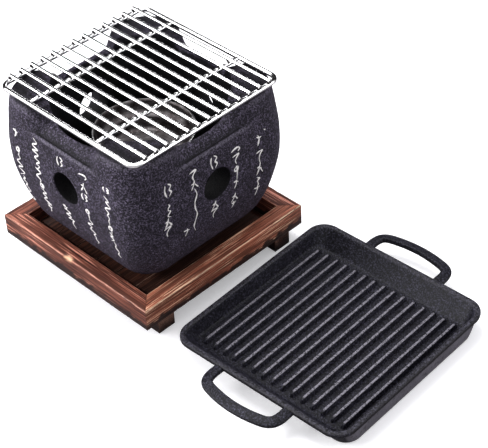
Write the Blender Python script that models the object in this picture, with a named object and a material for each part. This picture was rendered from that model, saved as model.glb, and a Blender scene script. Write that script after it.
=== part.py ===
"""Table-top hibachi grill with its wooden tray, lift-off wire rack, fire bowl and spare ribbed griddle.

Metres, +Z up, the table at z = 0.  The stove stands in the tray and the griddle lies beside it.
"""
import math

import bmesh
import bpy
import numpy as np
from mathutils import Vector

MM = 0.001
CONTACT_GAP = 0.3 * MM            # air left between pieces that touch

# Where the two groups stand on the table
TRAY_AT = (-96.99 * MM, -12.8 * MM)
GRIDDLE_AT = (TRAY_AT[0] + 193.7 * MM, TRAY_AT[1] + 12.8 * MM)
GRIDDLE_TURN = math.radians(2.7)

# Tray
TRAY_SIDE = 180.0 * MM
RAIL_WIDTH = 15.0 * MM
RAIL_HEIGHT = 21.0 * MM
RAIL_EASE = 0.9 * MM
SKID_HEIGHT = 13.7 * MM
SKID_WIDTH = 16.6 * MM
SKID_LENGTH = 175.0 * MM
SKID_OFFSET = 67.1 * MM           # centre line of a skid from the tray's centre
SKID_EASE = 1.0 * MM
RAIL_Z = SKID_HEIGHT + CONTACT_GAP
PLANK_COUNT = 6
PLANK_PITCH = 25.0 * MM
PLANK_WIDTH = 24.3 * MM
PLANK_LENGTH = 129.0 * MM
PLANK_THICKNESS = 7.7 * MM
PLANK_EASE = 0.6 * MM
SCREW_X = TRAY_SIDE / 2 - RAIL_WIDTH / 2
SCREW_SHANK_R = 1.8 * MM
SCREW_HEAD_R = 3.6 * MM
SCREW_HEAD_T = 2.4 * MM
SCREW_LENGTH = 21.0 * MM
SCREW_CLEARANCE = 0.3 * MM
COUNTERBORE_DEPTH = 5.0 * MM
SCREW_SIDES = 12

# Stove body: outer half-width and corner radius against height above the table
BODY_Z = RAIL_Z + PLANK_THICKNESS + CONTACT_GAP
BODY_PROFILE_Z = [22.0, 24.0, 30.0, 43.0, 55.0, 69.0, 94.0, 119.0, 142.0, 164.6]
BODY_HALF_WIDTH = [50.0, 52.5, 60.0, 70.4, 75.8, 80.0, 84.7, 85.6, 84.6, 83.0]
BODY_CORNER_R = [20.0, 21.0, 22.0, 23.0, 23.5, 24.0, 24.5, 25.0, 27.5, 30.0]
RIM_DIP_Z = 152.2 * MM            # rim height at the middle of a side
RIM_EAR_Z = 164.6 * MM            # rim height at the corners, where the rack rests
DIP_INNER = 0.32                  # share of the half-side that stays at the dip height
DIP_OUTER = 0.60                  # share of the half-side where the ear is reached
LEAN_DEPTH = 20.0 * MM            # how far below the rim the wall starts to lean inward
LEAN_DIP = 7.0 * MM               # inward lean at the middle of a side
LEAN_EAR = 2.5 * MM               # inward lean at a corner
RIM_ROUND = 2.0 * MM
BODY_OUTER_LEVELS = 15
BODY_SIDE_STEPS = 12
BODY_CORNER_STEPS = 7
CAVITY_R_Z = [30.5, 33.0, 44.0, 60.0, 80.0, 110.0, 140.0, 164.6]
CAVITY_R = [40.0, 45.0, 54.0, 60.5, 64.0, 66.0, 70.0, 73.0]
CAVITY_FLOOR_Z = 30.0 * MM
CAVITY_LEVELS = 9
AIR_HOLE_R = 15.0 * MM
AIR_HOLE_Z = 109.0 * MM
AIR_HOLE_SIDES = 28

# Fire bowl: outer surface radius against height, then its wall
BOWL_OUTER = [(31.0, 95.6), (33.5, 97.0), (34.2, 100.0), (34.6, 107.9), (38.5, 109.2), (40.6, 113.5),
              (41.6, 119.6)]
BOWL_WALL = 1.3 * MM
BOWL_RIM_R = 43.4 * MM
BOWL_RIM_Z = 121.2 * MM
BOWL_RIM_T = 1.6 * MM
BOWL_SIDES = 44

# Bowl stand
STAND_WIRE_R = 2.0 * MM
STAND_RING_R = 37.2 * MM
STAND_RING_Z = 105.6 * MM
STAND_LEGS = 4
STAND_FOOT_R = 39.0 * MM
STAND_SIDES = 10

# Wire rack
RACK_HALF_X = 79.4 * MM
RACK_HALF_Y = 77.4 * MM
RACK_CORNER_R = 8.0 * MM
RACK_FRAME_R = 2.1 * MM
RACK_BAR_R = 1.6 * MM
RACK_SUPPORT_R = 2.0 * MM
RACK_FRAME_Z = RIM_EAR_Z + CONTACT_GAP + RACK_FRAME_R
RACK_BAR_COUNT = 13
RACK_BAR_PITCH = 11.05 * MM
RACK_BAR_HALF_LENGTH = 81.5 * MM
RACK_BAR_Z = RACK_FRAME_Z + RACK_FRAME_R + CONTACT_GAP + RACK_BAR_R
RACK_SUPPORT_Z = RACK_FRAME_Z + RACK_FRAME_R - RACK_SUPPORT_R
RACK_SUPPORT_X = (-44.0 * MM, 35.0 * MM)
WIRE_SIDES = 10
WIRE_END_EASE = 0.5 * MM

# Griddle: half-length along X, half-length along Y, corner radius, height of each outline
GRIDDLE_OUTLINES = [
    (82.6, 79.6, 12.5, 0.0), (84.2, 81.2, 14.0, 1.4), (85.0, 87.0, 14.0, 14.2), (85.4, 88.4, 14.0, 15.2),
    (86.2, 92.0, 16.0, 15.8), (86.8, 92.6, 16.6, 16.6), (86.8, 92.6, 16.6, 18.9), (85.9, 91.7, 15.7, 20.0),
    (83.6, 89.2, 13.4, 20.0), (82.4, 87.6, 12.2, 19.0), (80.2, 78.0, 10.0, 6.2), (79.2, 76.4, 9.0, 5.0)]
GRIDDLE_CORNER_STEPS = 7
RIB_COUNT = 15
RIB_PITCH = 10.06 * MM
RIB_HALF_LENGTH = 71.8 * MM
RIB_ROOT_Z = 4.0 * MM             # ribs start inside the floor so that they join it
RIB_SECTION = [(-2.3, 0.0), (-1.6, 4.9), (-1.0, 5.5), (1.0, 5.5), (1.6, 4.9), (2.3, 0.0)]
RIB_END_RAMP = 1.6 * MM
HANDLE_PATH = [(35.4, 90.6, 17.0), (35.6, 96.5, 17.0), (35.2, 103.0, 17.0), (33.4, 108.0, 17.0),
               (29.0, 111.4, 17.0), (20.0, 113.8, 17.0), (10.0, 115.3, 17.0), (0.0, 115.8, 17.0)]
HANDLE_SECTION = [(-4.4, -1.6), (-4.4, 1.6), (-3.5, 2.5), (-0.6, 2.3), (3.2, 1.0), (4.4, -0.3), (4.3, -1.8),
                  (3.4, -2.6), (-3.4, -2.6)]

COLOURS = {
    "wood": ((0.26, 0.105, 0.055), 0.0, 0.62),
    "cast": ((0.035, 0.032, 0.043), 0.1, 0.72),
    "bowl": ((0.52, 0.51, 0.50), 1.0, 0.34),
    "wire": ((0.80, 0.80, 0.80), 1.0, 0.14),
    "stand": ((0.30, 0.30, 0.31), 1.0, 0.45),
    "griddle": ((0.040, 0.040, 0.050), 0.1, 0.55),
    "screw": ((0.55, 0.55, 0.52), 1.0, 0.38),
}


def clear_scene():
    for obj in list(bpy.data.objects):
        bpy.data.objects.remove(obj, do_unlink=True)


def make_material(name, kind):
    colour, metallic, roughness = COLOURS[kind]
    mat = bpy.data.materials.new(name)
    mat.use_nodes = True
    shader = mat.node_tree.nodes["Principled BSDF"]
    shader.inputs["Base Color"].default_value = (*colour, 1.0)
    shader.inputs["Metallic"].default_value = metallic
    shader.inputs["Roughness"].default_value = roughness
    return mat


def add_object(name, verts, faces, kind, at=(0.0, 0.0), smooth=False):
    """Makes one object from a closed shell; its origin stands on the table at `at`."""
    mesh = bpy.data.meshes.new(name)
    mesh.from_pydata([tuple(v) for v in verts], [], faces)
    bm = bmesh.new()
    bm.from_mesh(mesh)
    bmesh.ops.recalc_face_normals(bm, faces=bm.faces)
    bm.to_mesh(mesh)
    bm.free()
    for poly in mesh.polygons:
        poly.use_smooth = smooth
    obj = bpy.data.objects.new(name, mesh)
    obj.location = (at[0], at[1], 0.0)
    obj.data.materials.append(make_material(name + "_finish", kind))
    bpy.context.scene.collection.objects.link(obj)
    return obj


def boolean(target, cutter_verts, cutter_faces, operation, name, at):
    """Joins or cuts `target` with another closed shell, then bakes the result into its mesh."""
    cutter = add_object(name, cutter_verts, cutter_faces, "screw", at)
    mod = target.modifiers.new(name, "BOOLEAN")
    mod.operation = operation
    mod.solver = "EXACT"
    mod.object = cutter
    bpy.context.view_layer.update()
    graph = bpy.context.evaluated_depsgraph_get()
    baked = bpy.data.meshes.new_from_object(target.evaluated_get(graph), depsgraph=graph)
    target.modifiers.clear()
    target.data = baked
    bpy.data.objects.remove(cutter, do_unlink=True)
    while len(baked.materials) > 1:
        baked.materials.pop(index=len(baked.materials) - 1)
    for poly in baked.polygons:
        poly.material_index = 0


def loft(rings):
    """Closed shell through rings of equal point count, capped at both ends."""
    count = len(rings[0])
    verts = [p for ring in rings for p in ring]
    faces = []
    for k in range(len(rings) - 1):
        for i in range(count):
            j = (i + 1) % count
            faces.append((k * count + i, k * count + j, (k + 1) * count + j, (k + 1) * count + i))
    faces.append(tuple(range(count))[::-1])
    faces.append(tuple((len(rings) - 1) * count + i for i in range(count)))
    return verts, faces


def loop_shell(rings):
    """Closed shell through rings of equal point count, the last joined back to the first."""
    count, total = len(rings[0]), len(rings)
    verts = [p for ring in rings for p in ring]
    faces = []
    for k in range(total):
        nxt = (k + 1) % total
        for i in range(count):
            j = (i + 1) % count
            faces.append((k * count + i, k * count + j, nxt * count + j, nxt * count + i))
    return verts, faces


def merge_shells(shells):
    verts, faces = [], []
    for v, f in shells:
        base = len(verts)
        verts += list(v)
        faces += [tuple(i + base for i in face) for face in f]
    return verts, faces


def smoothstep(t):
    t = min(max(t, 0.0), 1.0)
    return t * t * (3 - 2 * t)


def eased_box(size, ease, centre):
    """Box whose long edges carry a small chamfer; its long axis is the largest of `size`."""
    axis = int(np.argmax(size))
    side = [a for a in range(3) if a != axis]
    h = [s / 2 for s in size]
    a, b = h[side[0]], h[side[1]]
    outline = [(-a + ease, -b), (a - ease, -b), (a, -b + ease), (a, b - ease),
               (a - ease, b), (-a + ease, b), (-a, b - ease), (-a, -b + ease)]
    rings = []
    for end in (-h[axis], h[axis]):
        ring = []
        for u, v in outline:
            point = [0.0, 0.0, 0.0]
            point[axis], point[side[0]], point[side[1]] = end, u, v
            ring.append(tuple(point[i] + centre[i] for i in range(3)))
        rings.append(ring)
    return loft(rings)


def cylinder(centre, axis, radius, length, sides):
    d = Vector(axis).normalized()
    u = d.orthogonal().normalized()
    v = d.cross(u)
    rings = []
    for end in (-length / 2, length / 2):
        mid = Vector(centre) + d * end
        rings.append([tuple(mid + radius * (math.cos(a) * u + math.sin(a) * v))
                      for a in (2 * math.pi * i / sides for i in range(sides))])
    return loft(rings)


def straight_wire(start, end, radius, sides=WIRE_SIDES):
    """Round bar with slightly broken ends."""
    start, end = Vector(start), Vector(end)
    d = (end - start).normalized()
    u = d.orthogonal().normalized()
    v = d.cross(u)
    rings = []
    for mid, r in ((start, radius - WIRE_END_EASE), (start + d * WIRE_END_EASE, radius),
                   (end - d * WIRE_END_EASE, radius), (end, radius - WIRE_END_EASE)):
        rings.append([tuple(mid + r * (math.cos(a) * u + math.sin(a) * v))
                      for a in (2 * math.pi * i / sides for i in range(sides))])
    return loft(rings)


def closed_wire(path, radius, sides=WIRE_SIDES):
    """Round wire along a closed level path."""
    rings = []
    total = len(path)
    for k in range(total):
        before, after = Vector(path[k - 1]), Vector(path[(k + 1) % total])
        tangent = (after - before).normalized()
        side = tangent.cross(Vector((0, 0, 1))).normalized()
        mid = Vector(path[k])
        rings.append([tuple(mid + radius * (math.cos(a) * side + math.sin(a) * Vector((0, 0, 1))))
                      for a in (2 * math.pi * i / sides for i in range(sides))])
    return loop_shell(rings)


def revolve(profile, sides, closed):
    """Turns (radius, height) points about Z; `closed` profiles make a ring, others are capped."""
    rings = [[(r * math.cos(a), r * math.sin(a), z)
              for a in (2 * math.pi * i / sides for i in range(sides))] for r, z in profile]
    return loop_shell(rings) if closed else loft(rings)


def rounded_outline(half_x, half_y, radius, corner_steps, side_steps=1):
    """Counter-clockwise points of a rounded rectangle, the same count for every size."""
    points = []
    corners = [(1, 1), (-1, 1), (-1, -1), (1, -1)]
    for k, (sx, sy) in enumerate(corners):
        cx, cy = sx * (half_x - radius), sy * (half_y - radius)
        for i in range(corner_steps + 1):
            a = (k + i / corner_steps) * math.pi / 2
            points.append((cx + radius * math.cos(a), cy + radius * math.sin(a)))
        nx, ny = corners[(k + 1) % 4]
        a = (k + 1) * math.pi / 2
        start = points[-1]
        end = (nx * (half_x - radius) + radius * math.cos(a), ny * (half_y - radius) + radius * math.sin(a))
        for i in range(1, side_steps):
            t = i / side_steps
            points.append((start[0] + (end[0] - start[0]) * t, start[1] + (end[1] - start[1]) * t))
    return points


# ---------------------------------------------------------------- tray

def build_rail(name, quarter):
    """Mitred rail on the side that faces -Y, turned by `quarter` right angles."""
    outer, inner = TRAY_SIDE / 2, TRAY_SIDE / 2 - RAIL_WIDTH
    e, z0, z1 = RAIL_EASE, RAIL_Z, RAIL_Z + RAIL_HEIGHT
    section = [(outer, z0 + e), (outer, z1 - e), (outer - e, z1), (inner + e, z1),
               (inner, z1 - e), (inner, z0 + e), (inner + e, z0), (outer - e, z0)]
    mitre = CONTACT_GAP / 2 * math.sqrt(2)
    turn = quarter * math.pi / 2
    rings = []
    for side in (-1, 1):
        ring = []
        for depth, z in section:
            x, y = side * (depth - mitre), -depth
            ring.append((x * math.cos(turn) - y * math.sin(turn), x * math.sin(turn) + y * math.cos(turn), z))
        rings.append(ring)
    return add_object(name, *loft(rings), "wood", TRAY_AT)


def build_tray():
    rails = {name: build_rail(name, k) for k, name in
             enumerate(("tray_rail_front", "tray_rail_right", "tray_rail_back", "tray_rail_left"))}
    first = -(PLANK_COUNT - 1) / 2 * PLANK_PITCH
    for i in range(PLANK_COUNT):
        box = eased_box((PLANK_WIDTH, PLANK_LENGTH, PLANK_THICKNESS), PLANK_EASE,
                        (first + i * PLANK_PITCH, 0.0, RAIL_Z + PLANK_THICKNESS / 2))
        add_object(f"tray_plank_{i + 1}", *box, "wood", TRAY_AT)
    skids = {}
    for name, side in (("tray_skid_front", -1), ("tray_skid_back", 1)):
        box = eased_box((SKID_LENGTH, SKID_WIDTH, SKID_HEIGHT), SKID_EASE,
                        (0.0, side * SKID_OFFSET, SKID_HEIGHT / 2))
        skids[side] = add_object(name, *box, "wood", TRAY_AT)
    build_skid_screws(rails, skids)


def build_skid_screws(rails, skids):
    """Four screws driven up through the skid ends into the side rails, each in its own hole."""
    bore_r = SCREW_SHANK_R + SCREW_CLEARANCE
    head_z = COUNTERBORE_DEPTH - CONTACT_GAP
    tip_z = head_z - SCREW_HEAD_T + SCREW_LENGTH
    number = 0
    for side_y, skid in skids.items():
        for side_x, rail in ((-1, rails["tray_rail_left"]), (1, rails["tray_rail_right"])):
            number += 1
            x, y = side_x * SCREW_X, side_y * SKID_OFFSET
            deep = tip_z + SCREW_CLEARANCE * 2
            bore = cylinder((x, y, deep / 2 - MM), (0, 0, 1), bore_r, deep + 2 * MM, SCREW_SIDES)
            recess = cylinder((x, y, COUNTERBORE_DEPTH / 2 - MM), (0, 0, 1), SCREW_HEAD_R + SCREW_CLEARANCE,
                              COUNTERBORE_DEPTH + 2 * MM, SCREW_SIDES)
            boolean(skid, *bore, "DIFFERENCE", "bore", TRAY_AT)
            boolean(skid, *recess, "DIFFERENCE", "recess", TRAY_AT)
            boolean(rail, *bore, "DIFFERENCE", "bore", TRAY_AT)
            z0 = head_z - SCREW_HEAD_T
            profile = [(SCREW_HEAD_R, z0), (SCREW_HEAD_R, head_z), (SCREW_SHANK_R, head_z),
                       (SCREW_SHANK_R, tip_z - 2 * MM), (0.5 * MM, tip_z)]
            verts, faces = revolve(profile, SCREW_SIDES, closed=False)
            verts = [(vx + x, vy + y, vz) for vx, vy, vz in verts]
            add_object(f"skid_screw_{number}", verts, faces, "screw", TRAY_AT)


# ---------------------------------------------------------------- stove

def interpolate(value, xs, ys):
    """Smooth reading of a profile table, both columns in millimetres; value in metres."""
    return float(np.interp(value / MM, xs, ys)) * MM


def smooth_table(xs, ys, steps=60):
    """Densifies a profile table with a Catmull-Rom curve so that the wall has no kinks."""
    dense_x, dense_y = [], []
    for i in range(len(xs) - 1):
        x0, x1 = xs[i], xs[i + 1]
        m0 = (ys[min(i + 1, len(xs) - 1)] - ys[max(i - 1, 0)]) / (xs[min(i + 1, len(xs) - 1)] - xs[max(i - 1, 0)])
        m1 = (ys[min(i + 2, len(xs) - 1)] - ys[i]) / (xs[min(i + 2, len(xs) - 1)] - xs[i])
        for t in np.linspace(0, 1, steps, endpoint=False):
            h = x1 - x0
            dense_x.append(x0 + t * h)
            dense_y.append((2 * t**3 - 3 * t**2 + 1) * ys[i] + (t**3 - 2 * t**2 + t) * h * m0
                           + (-2 * t**3 + 3 * t**2) * ys[i + 1] + (t**3 - t**2) * h * m1)
    return dense_x + [xs[-1]], dense_y + [ys[-1]]


def ear_weight(x, y):
    """0 along the middle of a side, 1 round a corner."""
    share = min(abs(x), abs(y)) / max(abs(x), abs(y), 1e-9)
    return smoothstep((share - DIP_INNER) / (DIP_OUTER - DIP_INNER))


def body_rings():
    width_x, width_y = smooth_table(BODY_PROFILE_Z, BODY_HALF_WIDTH)
    radius_x, radius_y = smooth_table(BODY_PROFILE_Z, BODY_CORNER_R)
    cavity_x, cavity_y = smooth_table(CAVITY_R_Z, CAVITY_R)

    def outline(z):
        half = interpolate(z, width_x, width_y)
        return rounded_outline(half, half, interpolate(z, radius_x, radius_y), BODY_CORNER_STEPS,
                               BODY_SIDE_STEPS)

    widest = outline(119 * MM)
    ears = [ear_weight(x, y) for x, y in widest]
    rims = [RIM_DIP_Z + w * (RIM_EAR_Z - RIM_DIP_Z) for w in ears]
    leans = [LEAN_DIP + w * (LEAN_EAR - LEAN_DIP) for w in ears]
    angles = [math.atan2(y, x) for x, y in widest]

    def outer_point(i, z):
        x, y = outline(z)[i]
        rise = smoothstep((z - (rims[i] - LEAN_DEPTH)) / LEAN_DEPTH) * leans[i]
        length = math.hypot(x, y)
        flat = max(abs(x), abs(y)) / length
        scale = 1 - rise / (length * flat)
        return x * scale, y * scale

    rings = []
    for k in range(BODY_OUTER_LEVELS + 1):
        share = (k / BODY_OUTER_LEVELS) ** 0.85
        ring = []
        for i, rim in enumerate(rims):
            z = BODY_Z + share * (rim - RIM_ROUND - BODY_Z)
            ring.append((*outer_point(i, z), z))
        rings.append(ring)
    edge = [outer_point(i, rim) for i, rim in enumerate(rims)]
    mouth = [(CAVITY_R[-1] * MM * math.cos(a), CAVITY_R[-1] * MM * math.sin(a)) for a in angles]

    def across(i, inset, drop):
        """Point on the rim, `inset` in from the outer edge (or from the mouth when negative)."""
        ex, ey = edge[i]
        mx, my = mouth[i]
        span = math.hypot(ex - mx, ey - my)
        t = inset / span if inset >= 0 else 1 + inset / span
        return (ex + (mx - ex) * t, ey + (my - ey) * t, rims[i] - drop)

    rings.append([across(i, RIM_ROUND * 0.35, RIM_ROUND * 0.3) for i in range(len(rims))])
    rings.append([across(i, RIM_ROUND * 1.1, 0.0) for i in range(len(rims))])
    rings.append([across(i, -RIM_ROUND * 0.9, 0.0) for i in range(len(rims))])
    rings.append([across(i, -RIM_ROUND * 0.1, RIM_ROUND * 0.7) for i in range(len(rims))])
    for k in range(1, CAVITY_LEVELS + 1):
        share = 1 - (1 - k / CAVITY_LEVELS) ** 1.25
        ring = []
        for i, rim in enumerate(rims):
            top = rim - RIM_ROUND * 2.4
            z = top + share * (CAVITY_FLOOR_Z - top)
            r = interpolate(max(z, CAVITY_R_Z[0] * MM), cavity_x, cavity_y)
            ring.append((r * math.cos(angles[i]), r * math.sin(angles[i]), z))
        rings.append(ring)
    return rings


def build_body():
    body = add_object("stove_body", *loft(body_rings()), "cast", TRAY_AT, smooth=True)
    reach = 2 * max(BODY_HALF_WIDTH) * MM + 20 * MM
    for axis in ((1, 0, 0), (0, 1, 0)):
        hole = cylinder((0, 0, AIR_HOLE_Z), axis, AIR_HOLE_R, reach, AIR_HOLE_SIDES)
        boolean(body, *hole, "DIFFERENCE", "air_hole", TRAY_AT)


def build_bowl():
    """Spun bowl: outer wall up to a flat rim, then the inner wall back down."""
    outer = [(r * MM, z * MM) for r, z in BOWL_OUTER]
    inner = [(r - BOWL_WALL, z + (BOWL_WALL if i == 0 else 0.0)) for i, (r, z) in enumerate(outer)]
    inner[1] = (inner[1][0], outer[1][1] + BOWL_WALL)
    inner[3] = (inner[3][0], outer[3][1] + BOWL_WALL)
    inner[4] = (inner[4][0], outer[4][1] + BOWL_WALL)
    rim = [(BOWL_RIM_R - 0.4 * MM, BOWL_RIM_Z - BOWL_RIM_T), (BOWL_RIM_R, BOWL_RIM_Z - BOWL_RIM_T / 2),
           (BOWL_RIM_R - 0.4 * MM, BOWL_RIM_Z), (outer[-1][0] - BOWL_WALL + 0.5 * MM, BOWL_RIM_Z)]
    profile = outer + rim + inner[::-1]
    add_object("fire_bowl", *revolve(profile, BOWL_SIDES, closed=False), "bowl", TRAY_AT, smooth=True)


def build_stand():
    """Wire ring under the bowl's shoulder, on straight legs that stand on the cavity floor."""
    steps = 32
    path = [(STAND_RING_R * math.cos(a), STAND_RING_R * math.sin(a), STAND_RING_Z)
            for a in (2 * math.pi * i / steps for i in range(steps))]
    add_object("bowl_stand_ring", *closed_wire(path, STAND_WIRE_R, STAND_SIDES), "stand", TRAY_AT, smooth=True)
    top = STAND_RING_Z - STAND_WIRE_R - CONTACT_GAP
    for k in range(STAND_LEGS):
        a = math.pi / 4 + k * 2 * math.pi / STAND_LEGS
        foot = (STAND_FOOT_R * math.cos(a), STAND_FOOT_R * math.sin(a), CAVITY_FLOOR_Z + CONTACT_GAP)
        head = (STAND_RING_R * math.cos(a), STAND_RING_R * math.sin(a), top)
        add_object(f"bowl_stand_leg_{k + 1}", *straight_wire(foot, head, STAND_WIRE_R, STAND_SIDES),
                   "stand", TRAY_AT, smooth=True)


# ---------------------------------------------------------------- rack

def build_rack():
    outline = rounded_outline(RACK_HALF_X, RACK_HALF_Y, RACK_CORNER_R, 8)
    path = [(x, y, RACK_FRAME_Z) for x, y in outline]
    add_object("rack_frame", *closed_wire(path, RACK_FRAME_R), "wire", TRAY_AT, smooth=True)
    reach = RACK_HALF_Y - RACK_FRAME_R - CONTACT_GAP
    for k, x in enumerate(RACK_SUPPORT_X):
        wire = straight_wire((x, -reach, RACK_SUPPORT_Z), (x, reach, RACK_SUPPORT_Z), RACK_SUPPORT_R)
        add_object(f"rack_support_{k + 1}", *wire, "wire", TRAY_AT, smooth=True)
    first = -(RACK_BAR_COUNT - 1) / 2 * RACK_BAR_PITCH
    for k in range(RACK_BAR_COUNT):
        y = first + k * RACK_BAR_PITCH
        wire = straight_wire((-RACK_BAR_HALF_LENGTH, y, RACK_BAR_Z), (RACK_BAR_HALF_LENGTH, y, RACK_BAR_Z),
                             RACK_BAR_R)
        add_object(f"rack_bar_{k + 1:02d}", *wire, "wire", TRAY_AT, smooth=True)


# ---------------------------------------------------------------- griddle

def turned(points):
    c, s = math.cos(GRIDDLE_TURN), math.sin(GRIDDLE_TURN)
    return [(x * c - y * s, x * s + y * c, z) for x, y, z in points]


def rib_shell(x):
    rings = []
    for y, share in ((-RIB_HALF_LENGTH, 0.35), (-RIB_HALF_LENGTH + RIB_END_RAMP, 1.0),
                     (RIB_HALF_LENGTH - RIB_END_RAMP, 1.0), (RIB_HALF_LENGTH, 0.35)):
        rings.append([(x + u * MM, y, RIB_ROOT_Z + v * MM * share) for u, v in RIB_SECTION])
    return loft(rings)


def handle_shell(side):
    """Loop handle on the +Y end, or on the -Y end when side is -1."""
    half = [Vector((x * MM, y * MM, z * MM)) for x, y, z in HANDLE_PATH]
    path = half + [Vector((-p.x, p.y, p.z)) for p in half[-2::-1]]
    rings = []
    for k, mid in enumerate(path):
        before, after = path[max(k - 1, 0)], path[min(k + 1, len(path) - 1)]
        tangent = (after - before)
        tangent.z = 0
        tangent.normalize()
        outward = Vector((0, 0, 1)).cross(tangent) * -1
        rings.append([(mid.x + outward.x * u * MM, side * (mid.y + outward.y * u * MM), mid.z + v * MM)
                      for u, v in HANDLE_SECTION])
    return loft(rings)


def build_griddle():
    rings = [[(x, y, z * MM) for x, y in
              rounded_outline(hx * MM, hy * MM, r * MM, GRIDDLE_CORNER_STEPS)]
             for hx, hy, r, z in GRIDDLE_OUTLINES]
    verts, faces = loft(rings)
    griddle = add_object("griddle", turned(verts), faces, "griddle", GRIDDLE_AT)
    first = -(RIB_COUNT - 1) / 2 * RIB_PITCH
    verts, faces = merge_shells([rib_shell(first + k * RIB_PITCH) for k in range(RIB_COUNT)])
    boolean(griddle, turned(verts), faces, "UNION", "ribs", GRIDDLE_AT)
    for side in (-1, 1):
        verts, faces = handle_shell(side)
        boolean(griddle, turned(verts), faces, "UNION", "handle", GRIDDLE_AT)


def main():
    clear_scene()
    build_tray()
    build_body()
    build_bowl()
    build_stand()
    build_rack()
    build_griddle()


main()
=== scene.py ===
"""Looks of the table-top hibachi grill: cast stove with brushed marks, wire rack, fire bowl, charred wooden
tray and spare ribbed griddle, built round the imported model."""
import math
import random

import bmesh
import bpy
import numpy as np
from mathutils import Matrix, Vector, noise
from mathutils.bvhtree import BVHTree


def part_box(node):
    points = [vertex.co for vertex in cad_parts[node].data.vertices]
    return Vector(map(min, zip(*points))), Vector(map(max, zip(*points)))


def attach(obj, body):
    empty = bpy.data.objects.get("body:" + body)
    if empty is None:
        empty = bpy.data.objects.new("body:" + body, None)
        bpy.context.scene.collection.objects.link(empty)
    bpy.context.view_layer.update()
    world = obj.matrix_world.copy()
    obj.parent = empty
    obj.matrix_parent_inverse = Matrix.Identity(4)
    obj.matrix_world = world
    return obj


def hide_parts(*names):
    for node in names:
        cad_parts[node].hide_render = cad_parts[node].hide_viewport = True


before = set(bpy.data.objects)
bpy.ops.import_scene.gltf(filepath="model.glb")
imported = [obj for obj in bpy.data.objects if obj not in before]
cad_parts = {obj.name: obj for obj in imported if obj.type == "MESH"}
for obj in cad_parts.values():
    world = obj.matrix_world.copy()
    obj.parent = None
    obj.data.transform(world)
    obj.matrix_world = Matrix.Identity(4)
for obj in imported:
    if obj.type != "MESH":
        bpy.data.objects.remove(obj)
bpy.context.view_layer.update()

MM = 0.001


def middle(*nodes):
    """Centre of the box round these CAD nodes."""
    boxes = [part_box(n) for n in nodes]
    low = Vector([min(b[0][i] for b in boxes) for i in range(3)])
    high = Vector([max(b[1][i] for b in boxes) for i in range(3)])
    return (low + high) / 2


def box_mm(node, origin=Vector((0.0, 0.0, 0.0))):
    """Low and high corner of a CAD node's box, in millimetres from `origin`."""
    return [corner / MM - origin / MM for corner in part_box(node)]


TRAY_RAILS = ("tray_rail_front", "tray_rail_right", "tray_rail_back", "tray_rail_left")
TRAY = middle(*TRAY_RAILS)
STOVE = middle("stove_body")
GRIDDLE = middle("griddle")
GRIDDLE_TURN = math.radians(2.7)

# Camera, from the tray's centre on the table
CAMERA_OFFSET = Vector((0.78355, -0.62863, 0.86214))
CAMERA_AZIMUTH = math.radians(46.846)
CAMERA_ELEVATION = math.radians(40.277)
CAMERA_ROLL = math.radians(-3.012)
CAMERA_LENS = 112.44


# ---------------------------------------------------------------- small tools

def smoothstep(t):
    t = min(max(t, 0.0), 1.0)
    return t * t * (3 - 2 * t)


def lerp(a, b, t):
    return a + (b - a) * t


def wobble(point, scale, seed=0.0):
    """Smooth noise from -1 to 1 at a point given in millimetres."""
    x, y, z = (c / scale for c in point)
    return noise.noise(Vector((x + seed, y - seed, z + 2 * seed)))


def turns(count):
    """Angles of evenly spaced points round a circle."""
    return [2 * math.pi * i / count for i in range(count)]


def spread(value, count):
    """Values of a mark for `count` points, from a list or from one number."""
    return list(value) if hasattr(value, "__len__") else [float(value)] * count


def chaikin(points, rounds, closed=False):
    """Cuts the corners of a line of points again and again, so that it runs smoothly."""
    points = [np.array(p, float) for p in points]
    for _ in range(rounds):
        pairs = list(zip(points, points[1:] + points[:1])) if closed else list(zip(points, points[1:]))
        cut = [q for a, b in pairs for q in (a * 0.75 + b * 0.25, a * 0.25 + b * 0.75)]
        points = cut if closed else [points[0]] + cut + [points[-1]]
    return points


def spline(knots, values, position):
    """Catmull-Rom reading of a table, clamped at its ends."""
    position = min(max(position, knots[0]), knots[-1])
    i = min(max(int(np.searchsorted(knots, position, "right")) - 1, 0), len(knots) - 2)

    def slope(k):
        a, b = max(k - 1, 0), min(k + 1, len(knots) - 1)
        return (values[b] - values[a]) / (knots[b] - knots[a])

    h = knots[i + 1] - knots[i]
    t = (position - knots[i]) / h
    return ((2 * t**3 - 3 * t**2 + 1) * values[i] + (t**3 - 2 * t**2 + t) * h * slope(i)
            + (-2 * t**3 + 3 * t**2) * values[i + 1] + (t**3 - t**2) * h * slope(i + 1))


def curve_through(points, step):
    """Evenly spaced points along the Catmull-Rom curve through `points`."""
    points = [np.array(p, float) for p in points]
    lengths = np.cumsum([0.0] + [np.linalg.norm(b - a) for a, b in zip(points, points[1:])])
    count = max(int(lengths[-1] / step), 2)
    axes = range(len(points[0]))
    return [np.array([spline(lengths, [p[k] for p in points], s) for k in axes])
            for s in np.linspace(0, lengths[-1], count + 1)]


class Shell:
    """Vertices in millimetres, faces, and per-vertex marks that the materials read."""

    def __init__(self):
        self.verts = []
        self.faces = []
        self.marks = {}

    def add(self, verts, faces, **marks):
        base = len(self.verts)
        self.verts += [tuple(float(c) for c in v) for v in verts]
        self.faces += [tuple(i + base for i in face) for face in faces]
        for name in set(self.marks) | set(marks):
            self.marks.setdefault(name, [0.0] * base).extend(spread(marks.get(name, 0.0), len(verts)))
        return self


def ring_faces(count, total, closed_rings=False):
    """Quads between `total` rings of `count` points, with end caps or joined back to the first ring."""
    faces = []
    for k in range(total if closed_rings else total - 1):
        nxt = (k + 1) % total
        for i in range(count):
            j = (i + 1) % count
            faces.append((k * count + i, k * count + j, nxt * count + j, nxt * count + i))
    if not closed_rings:
        faces.append(tuple(range(count))[::-1])
        faces.append(tuple((total - 1) * count + i for i in range(count)))
    return faces


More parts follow.
